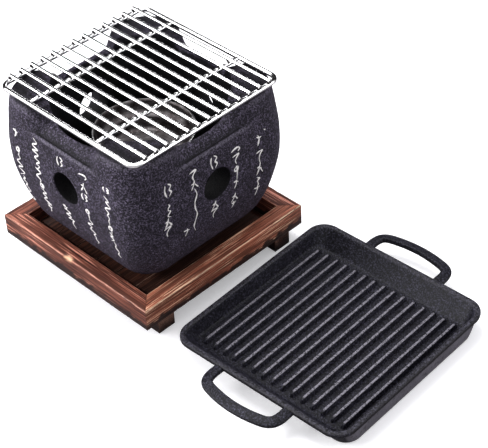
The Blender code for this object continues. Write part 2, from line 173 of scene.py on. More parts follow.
def make_mesh(name, shell, at, turn=0.0):
    """Mesh object in the row frame from a shell in millimetres round `at`."""
    c, s = math.cos(turn), math.sin(turn)
    verts = [(at[0] + (x * c - y * s) * MM, at[1] + (x * s + y * c) * MM, z * MM) for x, y, z in shell.verts]
    mesh = bpy.data.meshes.new(name)
    mesh.from_pydata(verts, [], shell.faces)
    for mark, values in shell.marks.items():
        layer = mesh.attributes.new(mark, "FLOAT", "POINT")
        layer.data.foreach_set("value", np.array(values, np.float32))
    bm = bmesh.new()
    bm.from_mesh(mesh)
    bmesh.ops.recalc_face_normals(bm, faces=bm.faces)
    bm.to_mesh(mesh)
    bm.free()
    obj = bpy.data.objects.new(name, mesh)
    bpy.context.scene.collection.objects.link(obj)
    return obj


def smooth(obj, angle):
    obj.data.shade_smooth()
    obj.data.set_sharp_from_angle(angle=math.radians(angle))


def boolean(target, shell, operation, at, turn=0.0):
    """Joins or cuts `target` with a closed shell and bakes the result."""
    cutter = make_mesh("cutter", shell, at, turn)
    mod = target.modifiers.new("cut", "BOOLEAN")
    mod.operation = operation
    mod.solver = "EXACT"
    mod.object = cutter
    bpy.context.view_layer.update()
    graph = bpy.context.evaluated_depsgraph_get()
    baked = bpy.data.meshes.new_from_object(target.evaluated_get(graph), depsgraph=graph)
    target.modifiers.clear()
    target.data = baked
    bpy.data.objects.remove(cutter, do_unlink=True)


def place(obj, material, body, slot=None, replaces=()):
    """Gives a piece its finish and its body, and hides the CAD nodes that it stands for."""
    obj.data.materials.clear()
    obj.data.materials.append(material)
    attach(obj, body)
    if replaces:
        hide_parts(*replaces)


def add_piece(name, part, at, angle, *placing):
    """Piece from (vertices, faces, marks), smooth up to an angle in degrees, with its finish and body."""
    verts, faces, marks = part
    piece = make_mesh(name, Shell().add(verts, faces, **marks), at)
    smooth(piece, angle)
    place(piece, *placing)


# ---------------------------------------------------------------- materials

class Nodes:
    """Node tree. Each method adds nodes and returns the socket with their result."""

    def __init__(self, tree):
        self.tree = tree

    def node(self, kind, sockets=None, **props):
        made = self.tree.nodes.new(kind)
        for key, value in props.items():
            setattr(made, key, value)
        for key, value in (sockets or {}).items():
            if isinstance(value, bpy.types.NodeSocket):
                self.tree.links.new(value, made.inputs[key])
            else:
                made.inputs[key].default_value = value
        return made

    def math(self, operation, *values):
        return self.node("ShaderNodeMath", dict(enumerate(values)), operation=operation).outputs[0]

    def times(self, a, b):
        return self.math("MULTIPLY", a, b)

    def band(self, value, low, high, to_low=0.0, to_high=1.0):
        """Stretches low..high of a value to to_low..to_high, clamped."""
        return self.node("ShaderNodeMapRange", {"Value": value, "From Min": low, "From Max": high,
                                                "To Min": to_low, "To Max": to_high}).outputs["Result"]

    def ramp(self, value, stops):
        """Faintly blue grey by value, from (value, level) pairs."""
        made = self.node("ShaderNodeValToRGB", {"Fac": value})
        elements = made.color_ramp.elements
        while len(elements) < len(stops):
            elements.new(0.5)
        for element, (position, level) in zip(elements, stops):
            element.position, element.color = position, (level, level, level * 1.02, 1.0)
        return made.outputs["Color"]

    def dimmed(self, colour, factor):
        return self.node("ShaderNodeVectorMath", {0: colour, "Scale": factor}, operation="SCALE").outputs[0]

    def split(self, vector):
        return self.node("ShaderNodeSeparateXYZ", {"Vector": vector}).outputs

    def for_rays(self, kind, others, these):
        """Shader `these` for one kind of ray and `others` for the rest."""
        factor = self.node("ShaderNodeLightPath").outputs[kind]
        return self.node("ShaderNodeMixShader", {0: factor, 1: others, 2: these}).outputs[0]


class Paint(Nodes):
    """One node material on a Principled shader."""

    def __init__(self, name, **constants):
        self.material = bpy.data.materials.new(name)
        self.material.use_nodes = True
        super().__init__(self.material.node_tree)
        self.shader = self.tree.nodes["Principled BSDF"]
        for key, value in constants.items():
            self.shader.inputs[key.replace("_", " ")].default_value = value
        self.coords = self.node("ShaderNodeTexCoord").outputs["Object"]

    def scaled(self, scale, offset=(0.0, 0.0, 0.0)):
        """Object position in millimetres, multiplied axis by axis."""
        sockets = {"Vector": self.coords, "Scale": [s / MM for s in spread(scale, 3)], "Location": offset}
        return self.node("ShaderNodeMapping", sockets).outputs["Vector"]

    def noise(self, vector, detail=4.0, roughness=0.55, distortion=0.0):
        sockets = {"Vector": vector, "Scale": 1.0, "Detail": detail, "Roughness": roughness,
                   "Distortion": distortion}
        return self.node("ShaderNodeTexNoise", sockets).outputs["Fac"]

    def mix(self, factor, a, b):
        a, b = (c if isinstance(c, bpy.types.NodeSocket) else (*c, 1.0) for c in (a, b))
        return self.node("ShaderNodeMix", {0: factor, 6: a, 7: b}, data_type="RGBA").outputs[2]

    def mark(self, name):
        return self.node("ShaderNodeAttribute", attribute_name=name).outputs["Fac"]

    def bump(self, height, depth_mm):
        return self.node("ShaderNodeBump", {"Height": height, "Distance": depth_mm * MM}).outputs["Normal"]

    def finish(self, colour, roughness=None, normal=None):
        for key, socket in (("Base Color", colour), ("Roughness", roughness), ("Normal", normal)):
            if socket is not None:
                self.tree.links.new(socket, self.shader.inputs[key])
        return self.material


def casting_material(name, tone, worn_and_lit_tone, grain, roughness, bump_mm):
    """Sand-cast metal with a dark baked finish: fine sandy grain and soft mottling; near-black for sooty
    places and painted shade, and a paler tone for wear, painted highlight and painted light.
    """
    p = Paint(name, Metallic=0.0, Specular_IOR_Level=0.16)
    sand = p.noise(p.scaled(1.0 / grain), detail=2.0, roughness=0.75)
    clumps = p.noise(p.scaled(0.42 / grain, (7, 3, 1)), detail=3.0, roughness=0.6)
    mottle = p.noise(p.scaled(0.045), detail=3.0)
    dark = tuple(c * 0.16 for c in tone)
    light = tuple(min(c * 4.6, 1.0) for c in tone)
    colour = p.mix(p.band(sand, 0.40, 0.51), dark, tone)
    colour = p.mix(p.band(sand, 0.52, 0.66), colour, light)
    # Painted light: where the pale mark is, the griddle's +X outer wall takes the paler tone, for the light
    # falling on that side.
    colour = p.mix(p.times(p.mark("pale"), p.band(clumps, 0.3, 0.7, 0.5, 0.95)), colour, worn_and_lit_tone)
    colour = p.mix(p.band(clumps, 0.5, 0.68, 0.0, 0.7), colour, dark)
    colour = p.mix(p.band(mottle, 0.35, 0.7, 0.0, 0.35), colour, dark)
    # Near-black where the inside mark is: sooty metal in the cavity, and painted shade in the cavity, the
    # holes, the rim's crease, on the ear tops and under the griddle's lip and handles.
    soot_and_shade = p.times(p.mark("inside"), p.band(mottle, 0.2, 0.6, 0.88, 1.0))
    colour = p.mix(soot_and_shade, colour, (0.0022, 0.002, 0.0025))
    # Paler tone on marked edges: wear, and painted highlight on the griddle's rib tops, the stove's rim and
    # the mouths of its holes.
    wear_and_highlight = p.times(p.mark("edge"), p.band(sand, 0.35, 0.55))
    colour = p.mix(wear_and_highlight, colour, worn_and_lit_tone)
    height = p.math("ADD", sand, p.times(clumps, 0.8))
    rough = p.band(sand, 0.3, 0.7, roughness - 0.1, roughness + 0.12)
    return p.finish(colour, rough, p.bump(height, bump_mm))


def wood_material(name, axis, seed, tone, streak, gloss):
    """Scorched, brushed softwood: long grain along `axis`, pale raised lines, dark charring in the hollows,
    edges paler for wear and painted highlight, and near-black towards the bottom.
    """
    p = Paint(name, Specular_IOR_Level=0.3, Coat_Weight=gloss, Coat_Roughness=0.3)
    offset = (seed * 3.7, seed * 5.3, seed * 1.9)

    def along(across, lengthwise):
        scale = [across] * 3
        scale[axis] = lengthwise
        return p.scaled(scale, offset)

    warp = p.noise(along(0.06, 0.012), detail=2.0)
    grain = p.noise(along(1.0, 0.02), detail=5.0, roughness=0.66, distortion=0.35)
    rings = p.noise(along(0.28, 0.007), detail=3.0, roughness=0.5, distortion=0.8)
    pores = p.noise(along(1.9, 0.07), detail=3.0, roughness=0.6)
    dark = (tone[0] * 0.12, tone[1] * 0.07, tone[2] * 0.07)
    colour = p.mix(p.band(grain, 0.41, 0.58), dark, tone)
    colour = p.mix(p.band(rings, 0.45, 0.58, 0.0, 0.85), colour, tuple(c * 0.26 for c in tone))
    lines = p.times(p.band(grain, 0.56, 0.63), p.band(warp, 0.4, 0.55))
    pale = (min(tone[0] * 2.8 + 0.08, 1.0), min(tone[1] * 3.6 + 0.06, 1.0), min(tone[2] * 4.0 + 0.05, 1.0))
    colour = p.mix(p.times(lines, streak), colour, pale)
    colour = p.mix(p.band(pores, 0.6, 0.72, 0.0, 0.7), colour, tuple(c * 0.12 for c in tone))
    # Edges paler: rubbed wear, and painted highlight along the edges.
    rub_and_highlight = p.times(p.mark("edge"), p.band(pores, 0.42, 0.56, 0.0, 0.75))
    colour = p.mix(rub_and_highlight, colour, (min(tone[0] * 3.0 + 0.1, 1.0), tone[1] * 4.0 + 0.1, tone[2] * 4.4 + 0.08))
    # Near-black towards the bottom of a piece: the lower edge of the rails and most of the skids.
    dark_bottom_share = p.times(p.mark("char"), p.band(pores, 0.3, 0.6, 0.8, 1.0))
    colour = p.mix(dark_bottom_share, colour, (0.008, 0.003, 0.0025))
    colour = p.mix(p.mark("knot"), colour, (0.85, 0.50, 0.30))
    rough = p.band(grain, 0.3, 0.7, 0.62, 0.42)
    height = p.math("ADD", p.times(grain, 0.8), p.times(pores, 0.35))
    return p.finish(colour, rough, p.bump(height, 0.45))


def wire_material(name, tone, roughness, scale_amount):
    """Bright drawn wire with faint draw lines; cut ends and weld spots are dark with scale, which on the rack
    also stands as painted shade under the bars' ends.
    """
    p = Paint(name, Metallic=1.0)
    stain = p.noise(p.scaled(0.35), detail=4.0)
    draw = p.noise(p.scaled(2.2), detail=2.0)
    colour = p.mix(p.band(stain, 0.35, 0.7), tone, tuple(c * 0.9 for c in tone))
    scale = p.times(p.mark("scale"), scale_amount)
    colour = p.mix(scale, colour, (0.022, 0.02, 0.02))
    bare = p.band(stain, 0.3, 0.7, roughness, roughness + 0.08)
    rough = p.math("ADD", bare, p.times(scale, 0.25))
    return p.finish(colour, rough, p.bump(draw, 0.02))


def spun_steel_material(name, centre):
    """Spun sheet steel that has seen fire: circular turning lines, heat stains and ash in the bottom; the
    bright lip is polished steel and also a painted highlight.
    """
    p = Paint(name, Metallic=1.0)
    local = p.scaled(1.0, (-centre[0] / MM, -centre[1] / MM, 0.0))
    x, y, z = p.split(local)
    radius = p.math("SQRT", p.math("ADD", p.times(x, x), p.times(y, y)))
    angle = p.math("ARCTAN2", y, x)
    around = p.node("ShaderNodeCombineXYZ", {"X": p.times(radius, 1.6), "Y": angle,
                                             "Z": p.times(z, 1.2)}).outputs["Vector"]
    lines = p.noise(around, detail=4.0, roughness=0.6)
    stain = p.noise(p.scaled(0.07), detail=5.0, distortion=0.6)
    spots = p.noise(p.scaled(0.5), detail=3.0)
    colour = p.mix(p.band(lines, 0.35, 0.65), (0.10, 0.09, 0.092), (0.26, 0.245, 0.25))
    colour = p.mix(p.band(stain, 0.38, 0.6, 0.0, 0.9), colour, (0.045, 0.034, 0.034))
    colour = p.mix(p.band(spots, 0.6, 0.72, 0.0, 0.6), colour, (0.42, 0.41, 0.40))
    # Near-white lip: polished steel, and a painted highlight.
    colour = p.mix(p.mark("edge"), colour, (0.86, 0.86, 0.86))
    rough = p.math("SUBTRACT", p.band(lines, 0.3, 0.7, 0.36, 0.5), p.times(p.mark("edge"), 0.2))
    return p.finish(colour, rough, p.bump(lines, 0.12))


def brush_material(name):
    """Off-white enamel laid on with a dry brush, broken by the sandy casting under it."""
    p = Paint(name, Specular_IOR_Level=0.35)
    grit = p.noise(p.scaled(1.5), detail=3.0)
    fade = p.noise(p.scaled(0.16), detail=2.0)
    colour = p.mix(p.band(fade, 0.35, 0.65, 0.0, 0.3), (0.96, 0.94, 0.93), (0.80, 0.77, 0.76))
    dry = p.times(p.band(grit, 0.6, 0.68), p.mark("dry"))
    colour = p.mix(dry, colour, (0.16, 0.145, 0.165))
    return p.finish(colour, p.band(grit, 0.3, 0.7, 0.5, 0.7), p.bump(grit, 0.1))


def floor_material(name):
    """White sheet. Other surfaces see a dim grey one, as if black cloth lay round the object."""
    p = Paint(name, Specular_IOR_Level=0.0, Emission_Color=(1.0, 1.0, 1.02, 1.0), Emission_Strength=0.30)
    tint = p.noise(p.scaled(0.004), detail=2.0)
    p.finish(p.mix(tint, (0.92, 0.92, 0.94), (0.93, 0.925, 0.945)))
    dim = p.node("ShaderNodeBsdfDiffuse", {"Color": (0.30, 0.285, 0.30, 1.0)}).outputs[0]
    output = next(n for n in p.tree.nodes if n.type == "OUTPUT_MATERIAL")
    p.tree.links.new(p.for_rays("Is Camera Ray", dim, p.shader.outputs[0]), output.inputs["Surface"])
    return p.material


# ---------------------------------------------------------------- tray

TIMBER_EASE = 1.1
TIMBER_ARC = 4
RAIL_WIDTH = 15.0
# Tones of the front, right, back and left rail; the right (+X) rail's lighter tone is painted light, for the
# light falling on that side.
RAIL_TONES = [(0.27, 0.082, 0.050), (0.48, 0.155, 0.090), (0.28, 0.082, 0.052), (0.26, 0.078, 0.048)]
PLANK_TONES = [(0.10, 0.034, 0.020), (0.085, 0.030, 0.019)]
SKID_TONE = (0.11, 0.036, 0.022)
# The drawn skids are wider than the CAD's by twice the first, and sit further out and higher by the others,
# so that no light shows through the slit under the tray's rail.
SKID_WIDER, SKID_OUTWARD, SKID_RAISED = 0.45, 0.35, 0.15
SHANK_R = 2.1
HEAD_R = 3.9


def timber_section(half_u, half_v, ease, step):
    """Rounded rectangle as points (u, v, how much of an edge it is), about `step` apart on the flats."""
    points = []
    corners = [(1, 1), (-1, 1), (-1, -1), (1, -1)]
    for k, (su, sv) in enumerate(corners):
        for i in range(TIMBER_ARC + 1):
            a = (k + i / TIMBER_ARC) * math.pi / 2
            edge = math.sin(i / TIMBER_ARC * math.pi)
            u, v = su * (half_u - ease) + ease * math.cos(a), sv * (half_v - ease) + ease * math.sin(a)
            points.append((u, v, edge))
        nu, nv = corners[(k + 1) % 4]
        a = (k + 1) * math.pi / 2
        end = (nu * (half_u - ease) + ease * math.cos(a), nv * (half_v - ease) + ease * math.sin(a))
        start = points[-1]
        flats = max(int(math.hypot(end[0] - start[0], end[1] - start[1]) / step), 1)
        points += [(lerp(start[0], end[0], i / flats), lerp(start[1], end[1], i / flats), 0.0)
                   for i in range(1, flats)]
    return points


def timber(length, half_u, half_v, seed, mitred=False, ease=TIMBER_EASE, dark_bottom_height=0.0, knots=()):
    """Length of wood along X, centred on the origin: u is the depth (-Y is outward) and v the height.
    Knots are (position along X, position on the ring u, v, size)."""
    section = timber_section(half_u, half_v, ease, 1.9)
    count = int(length / 2.2)
    verts, edge, char, knot = [], [], [], []
    for k in range(count + 1):
        t = k / count * 2 - 1
        for u, v, is_edge in section:
            x = (length / 2 - (half_u - u if mitred else 0.0)) * t
            here = (x, u * 2.2 + seed * 9, v * 2.2)
            wear_and_highlight = 0.10 + 0.10 * wobble((x / 9, here[1], here[2]), 2.2, seed)
            nick = max(wobble((x, here[1] * 3, v * 3), 7.0, seed + 4) - 0.18, 0.0) * 1.1 * is_edge
            inset = max(wear_and_highlight, 0.0) + nick
            bright = 0.0
            for kx, ku, kv, size in knots:
                d = math.dist((x * 0.62, u, v), (kx * 0.62, ku, kv)) / size
                inset += 1.9 * smoothstep(1.15 - d * 1.3)
                bright = max(bright, smoothstep(2.0 - d * 3.4 + 0.8 * wobble((x, u, v), 2.5, seed)))
            norm = max(math.hypot(u / half_u, v / half_v), 1e-6)
            verts.append((x, u - inset * u / half_u / norm, v - inset * v / half_v / norm))
            edge.append(is_edge)
            # Share of near-black, growing towards the bottom edge.
            low = smoothstep((-v - half_v + dark_bottom_height * (1 + 0.55 * wobble((x, 0, 0), 6.0, seed))) / 1.0 + 0.5)
            char.append(low if dark_bottom_height else 0.0)
            knot.append(bright)
    return verts, ring_faces(len(section), count + 1), {"edge": edge, "char": char, "knot": knot}


def turned_quarter(verts, quarter, centre_u, centre_z):
    """Moves a length of wood from its own frame to a side of the tray."""
    a = quarter * math.pi / 2
    c, s = math.cos(a), math.sin(a)
    placed = [(x, -(centre_u + u), centre_z + v) for x, u, v in verts]
    return [(x * c - y * s, x * s + y * c, z) for x, y, z in placed]


def bore(x, y, radius, low, high, sides=24):
    ring = [(x + radius * math.cos(a), y + radius * math.sin(a)) for a in turns(sides)]
    return Shell().add([(*p, z) for z in (low, high) for p in ring], ring_faces(sides, 2))


def screw_places():
    return [(middle(f"skid_screw_{k}") - TRAY) / MM for k in range(1, 5)]


def lay_timber(name, node, part, bores, *wood):
    """Puts a piece of wood with its screw holes in place of a CAD node of the tray."""
    verts, faces, marks = part
    piece = make_mesh(name, Shell().add(verts, faces, **marks), TRAY)
    for hole in bores:
        boolean(piece, hole, "DIFFERENCE", TRAY)
    smooth(piece, 40)
    place(piece, wood_material(f"wood_{node}", *wood), "tray", "tray_wood", [node])


def build_rails():
    low, high = box_mm("tray_rail_front")
    half_u, half_v, half_side = RAIL_WIDTH / 2, (high.z - low.z) / 2, (high.x - low.x) / 2
    knots = [(-6.0, half_u, half_v - 0.4, 6.4)]
    for k, node in enumerate(TRAY_RAILS):
        verts, faces, marks = timber(2 * half_side - 0.4, half_u, half_v, k + 1.3, mitred=True, dark_bottom_height=6.6,
                                     knots=() if k else knots)
        verts = turned_quarter(verts, k, half_side - half_u, low.z + half_v)
        bores = [bore(x, y, SHANK_R, -1.0, 22.5) for x, y, _ in screw_places()
                 if k % 2 and (x > 0) == (k == 1)]
        lay_timber(f"rail_{node.split('_')[-1]}", node, (verts, faces, marks), bores,
                   k % 2, k + 2.0, RAIL_TONES[k], 0.95, 0.12)


def build_planks():
    for k in range(6):
        node = f"tray_plank_{k + 1}"
        low, high = box_mm(node)
        half_u, half_v = (high.x - low.x) / 2, (high.z - low.z) / 2
        verts, faces, marks = timber(high.y - low.y, half_u, half_v, k + 7.1, ease=0.7)
        centre, height = middle(node) / MM - TRAY / MM, middle(node).z / MM
        verts = [(centre.x + u, centre.y + x, height + v) for x, u, v in verts]
        lay_timber(f"plank_{k + 1}", node, (verts, faces, marks), (),
                   1, k + 11.0, PLANK_TONES[k % 2], 0.35, 0.1)


def build_skids():
    for k, node in enumerate(("tray_skid_front", "tray_skid_back")):
        low, high = box_mm(node)
        half_u, half_v = (high.y - low.y) / 2 + SKID_WIDER, (high.z - low.z) / 2
        verts, faces, marks = timber(high.x - low.x, half_u, half_v, k + 21.7, ease=0.4, dark_bottom_height=8.0)
        centre, height = (middle(node) - TRAY) / MM, middle(node).z / MM + SKID_RAISED
        middle_y = centre.y + math.copysign(SKID_OUTWARD, centre.y)
        verts = [(centre.x + x, middle_y + u, height + v) for x, u, v in verts]
        bores = [bore(x, y, radius, -1.0, top) for x, y, _ in screw_places() if (y > 0) == (centre.y > 0)
                 for radius, top in ((SHANK_R, 20.0), (HEAD_R, 5.0))]
        lay_timber(f"skid_{node.split('_')[-1]}", node, (verts, faces, marks), bores,
                   0, k + 31.0, SKID_TONE, 0.5, 0.05)


# ---------------------------------------------------------------- stove body

# Outer wall and cavity in millimetres: heights, then what the wall measures at each
BODY_Z = [22.0, 24.0, 30.0, 43.0, 55.0, 69.0, 94.0, 119.0, 142.0, 164.6]
BODY_HALF = [50.0, 52.5, 60.0, 70.4, 75.8, 80.0, 84.7, 85.6, 84.6, 83.0]
BODY_CORNER = [20.0, 21.0, 22.0, 23.0, 23.5, 24.0, 24.5, 25.0, 27.5, 30.0]
CAVITY_Z = [30.0, 33.0, 44.0, 60.0, 80.0, 110.0, 140.0, 164.6]
CAVITY_R = [36.0, 45.0, 54.0, 60.5, 64.0, 66.0, 70.0, 73.0]
RIM_DIP = 152.2                   # height of the rim in the middle of a side
RIM_EAR = 164.5                   # and on the raised corners, the ears
DIP_INNER = 0.32                  # the dip turns into an ear between these shares of the way
DIP_OUTER = 0.60                  # from a side's middle to the diagonal
# Rows of the scooped rim, from the wall's last full-width row to the mouth: (inset from the outer wall,
# drop below the rim), in the middle of a side and on an ear.
SCOOP_ROWS = [(0.0, 12.5), (0.1, 10.6), (0.3, 9.0), (0.7, 7.7), (1.4, 6.9), (2.3, 7.3), (3.3, 7.9),
              (4.3, 7.2), (5.5, 5.4), (6.9, 3.3), (8.3, 1.5), (9.5, 0.4), (10.4, 0.0), (11.2, 0.2)]
EAR_ROWS = [(0.0, 24.8), (0.0, 23.0), (0.0, 21.4), (0.0, 20.0), (0.0, 18.6), (0.02, 16.4), (0.05, 13.4),
            (0.15, 9.6), (0.4, 6.4), (0.9, 3.8), (1.8, 1.8), (3.2, 0.6), (5.4, 0.05), (8.4, 0.0)]
MOUTH_ROWS = [(1.0, 0.5, 0.3), (0.45, 1.2, 0.6), (0.1, 2.2, 0.85)]  # past the cavity's wall, drop, darkening for sooty metal and painted shade
VALLEY_DARK = {4: 0.3, 5: 0.75, 6: 0.9, 7: 0.7, 8: 0.35}    # painted shade in the crease, by row of the scoop
EAR_DARK = {10: 0.3, 11: 0.6, 12: 0.82, 13: 0.88}           # painted shade on top of the ears, under the rack
HOLE_Z = 109.0
HOLE_R = 15.0
HOLE_PATCH = 24.0                 # half-size of the square that is fitted round a hole
HOLE_STEPS = 16                   # cells from a hole's centre to the patch's edge
HOLE_CELLS = 10                   # of which these lie inside the hole
HOLE_ROUNDING = 0.45              # how much tighter a hole is inside than at its mouth
# Rings of a hole's lining: (share of the way in, millimetres past that, wear and painted highlight on the
# edge)
HOLE_LINING = [(0.0, 0.35, 0.25), (0.0, 1.2, 0.0), (0.12, 0.0, 0.0), (0.5, 0.0, 0.0), (0.88, 0.0, 0.0)]
FAR_STEPS = 14                    # columns from a patch's edge to the corner
CORNER_STEPS = 16
CAVITY_STEPS = 21                 # rows of the cavity below the holes
LOW_ROWS = [22.0, 22.5, 23.3, 24.5, 26.2, 28.4] + [31.0 + 2.7 * i for i in range(20)]
CAVITY_FAR = math.radians(32)     # angle of the cavity's column that meets the start of a corner


def patch_lines():
    """Offsets in millimetres of the grid's lines across the patch round a hole."""
    return [i * HOLE_PATCH / HOLE_STEPS for i in range(-HOLE_STEPS, HOLE_STEPS + 1)]


def body_columns():
    """(side, kind, place) for each column, anticlockwise: "near" a hole the place is in millimetres, "far"
    from it and round a "corner" it is a share of the way."""
    columns = []
    for side in range(4):
        columns += [(side, "far", -i / FAR_STEPS) for i in range(FAR_STEPS, 0, -1)]
        columns += [(side, "near", u) for u in patch_lines()]
        columns += [(side, "far", i / FAR_STEPS) for i in range(1, FAR_STEPS + 1)]
        columns += [(side, "corner", i / CORNER_STEPS) for i in range(1, CORNER_STEPS)]
    return columns


def outer_plan(column, half, corner):
    """Point of the outer wall's plan for a column, for the side that faces -Y before it is turned."""
    _, kind, value = column
    straight = half - corner
    if kind == "near":
        return value, -half
    if kind == "far":
        return math.copysign(lerp(HOLE_PATCH, straight, abs(value)), value), -half
    a = -math.pi / 2 + value * math.pi / 2
    return straight + corner * math.cos(a), -straight + corner * math.sin(a)


def turn_to_side(x, y, side):
    for _ in range(side):
        x, y = -y, x
    return x, y


def inner_angle(column, radius):
    """Angle round the cavity, measured from the middle of the side, so that columns line up at a hole."""
    _, kind, value = column
    edge = math.asin(HOLE_PATCH / radius)
    if kind == "near":
        return math.asin(value / radius)
    if kind == "far":
        return math.copysign(lerp(edge, CAVITY_FAR, abs(value)), value)
    return lerp(CAVITY_FAR, math.pi / 2 - CAVITY_FAR, value)


def fit_to_hole(u, v):
    """Bends the square grid round a hole so that one of its rings is the hole's circle."""
    c = max(abs(u), abs(v)) / HOLE_PATCH
    if c < 1e-9 or c >= 1.0:
        return u, v
    start = HOLE_CELLS / HOLE_STEPS
    round_share = 1.0 - smoothstep((c - start) / (1.0 - start))
    factor = lerp(1.0, c * HOLE_PATCH / math.hypot(u, v), round_share)
    return u * factor, v * factor


def fitted(column, z):
    """Place and height of a grid point in a column, bent to the circle of the hole beside it."""
    _, kind, value = column
    if kind != "near" or abs(z - HOLE_Z) >= HOLE_PATCH:
        return value, z
    u, v = fit_to_hole(value, z - HOLE_Z)
    return u, HOLE_Z + v


def wall_point(column, z):
    side, kind, _ = column
    value, level = fitted(column, z)
    half, corner = spline(BODY_Z, BODY_HALF, level), spline(BODY_Z, BODY_CORNER, level)
    return (*turn_to_side(*outer_plan((side, kind, value), half, corner), side), level)


def cavity_point(column, z):
    side, kind, _ = column
    value, level = fitted(column, z)
    radius = spline(CAVITY_Z, CAVITY_R, level)
    a = inner_angle((side, kind, value), radius)
    return (*turn_to_side(radius * math.sin(a), -radius * math.cos(a), side), level)


def ear_weight(x, y):
    share = min(abs(x), abs(y)) / max(abs(x), abs(y))
    return smoothstep((share - DIP_INNER) / (DIP_OUTER - DIP_INNER))


def scoop_profile(weight):
    """Rows of the scooped rim for a column that is part of an ear by `weight`."""
    return [(lerp(a, c, weight), lerp(b, d, weight)) for (a, b), (c, d) in zip(SCOOP_ROWS, EAR_ROWS)]


def strip(ring, other):
    """Quads between two rings of vertex numbers."""
    return list(zip(ring, ring[1:] + ring[:1], other[1:] + other[:1], other))


def hole_edge():
    """(row, column) of the grid points round a hole, anticlockwise."""
    a, b = HOLE_STEPS - HOLE_CELLS, HOLE_STEPS + HOLE_CELLS
    return ([(a, c) for c in range(a, b)] + [(r, b) for r in range(a, b)]
            + [(b, c) for c in range(b, a, -1)] + [(r, a) for r in range(b, a, -1)])


def lining_point(start, end, side, share, sink):
    """Point between a hole's outer and inner edge, on the hole's wall, which rounds off at its mouth."""
    point = lerp(start, end, share) + (end - start) / np.linalg.norm(end - start) * sink
    across = np.array([*turn_to_side(1.0, 0.0, side), 0.0])
    off_u, off_z = point @ across, point[2] - HOLE_Z
    size = math.hypot(off_u, off_z)
    wanted = HOLE_R - HOLE_ROUNDING * (1 - math.exp(-2.0 * sink if share == 0.0 else -9.0))
    point = point + across * off_u * (wanted / size - 1)
    point[2] = HOLE_Z + off_z * wanted / size
    return tuple(point)


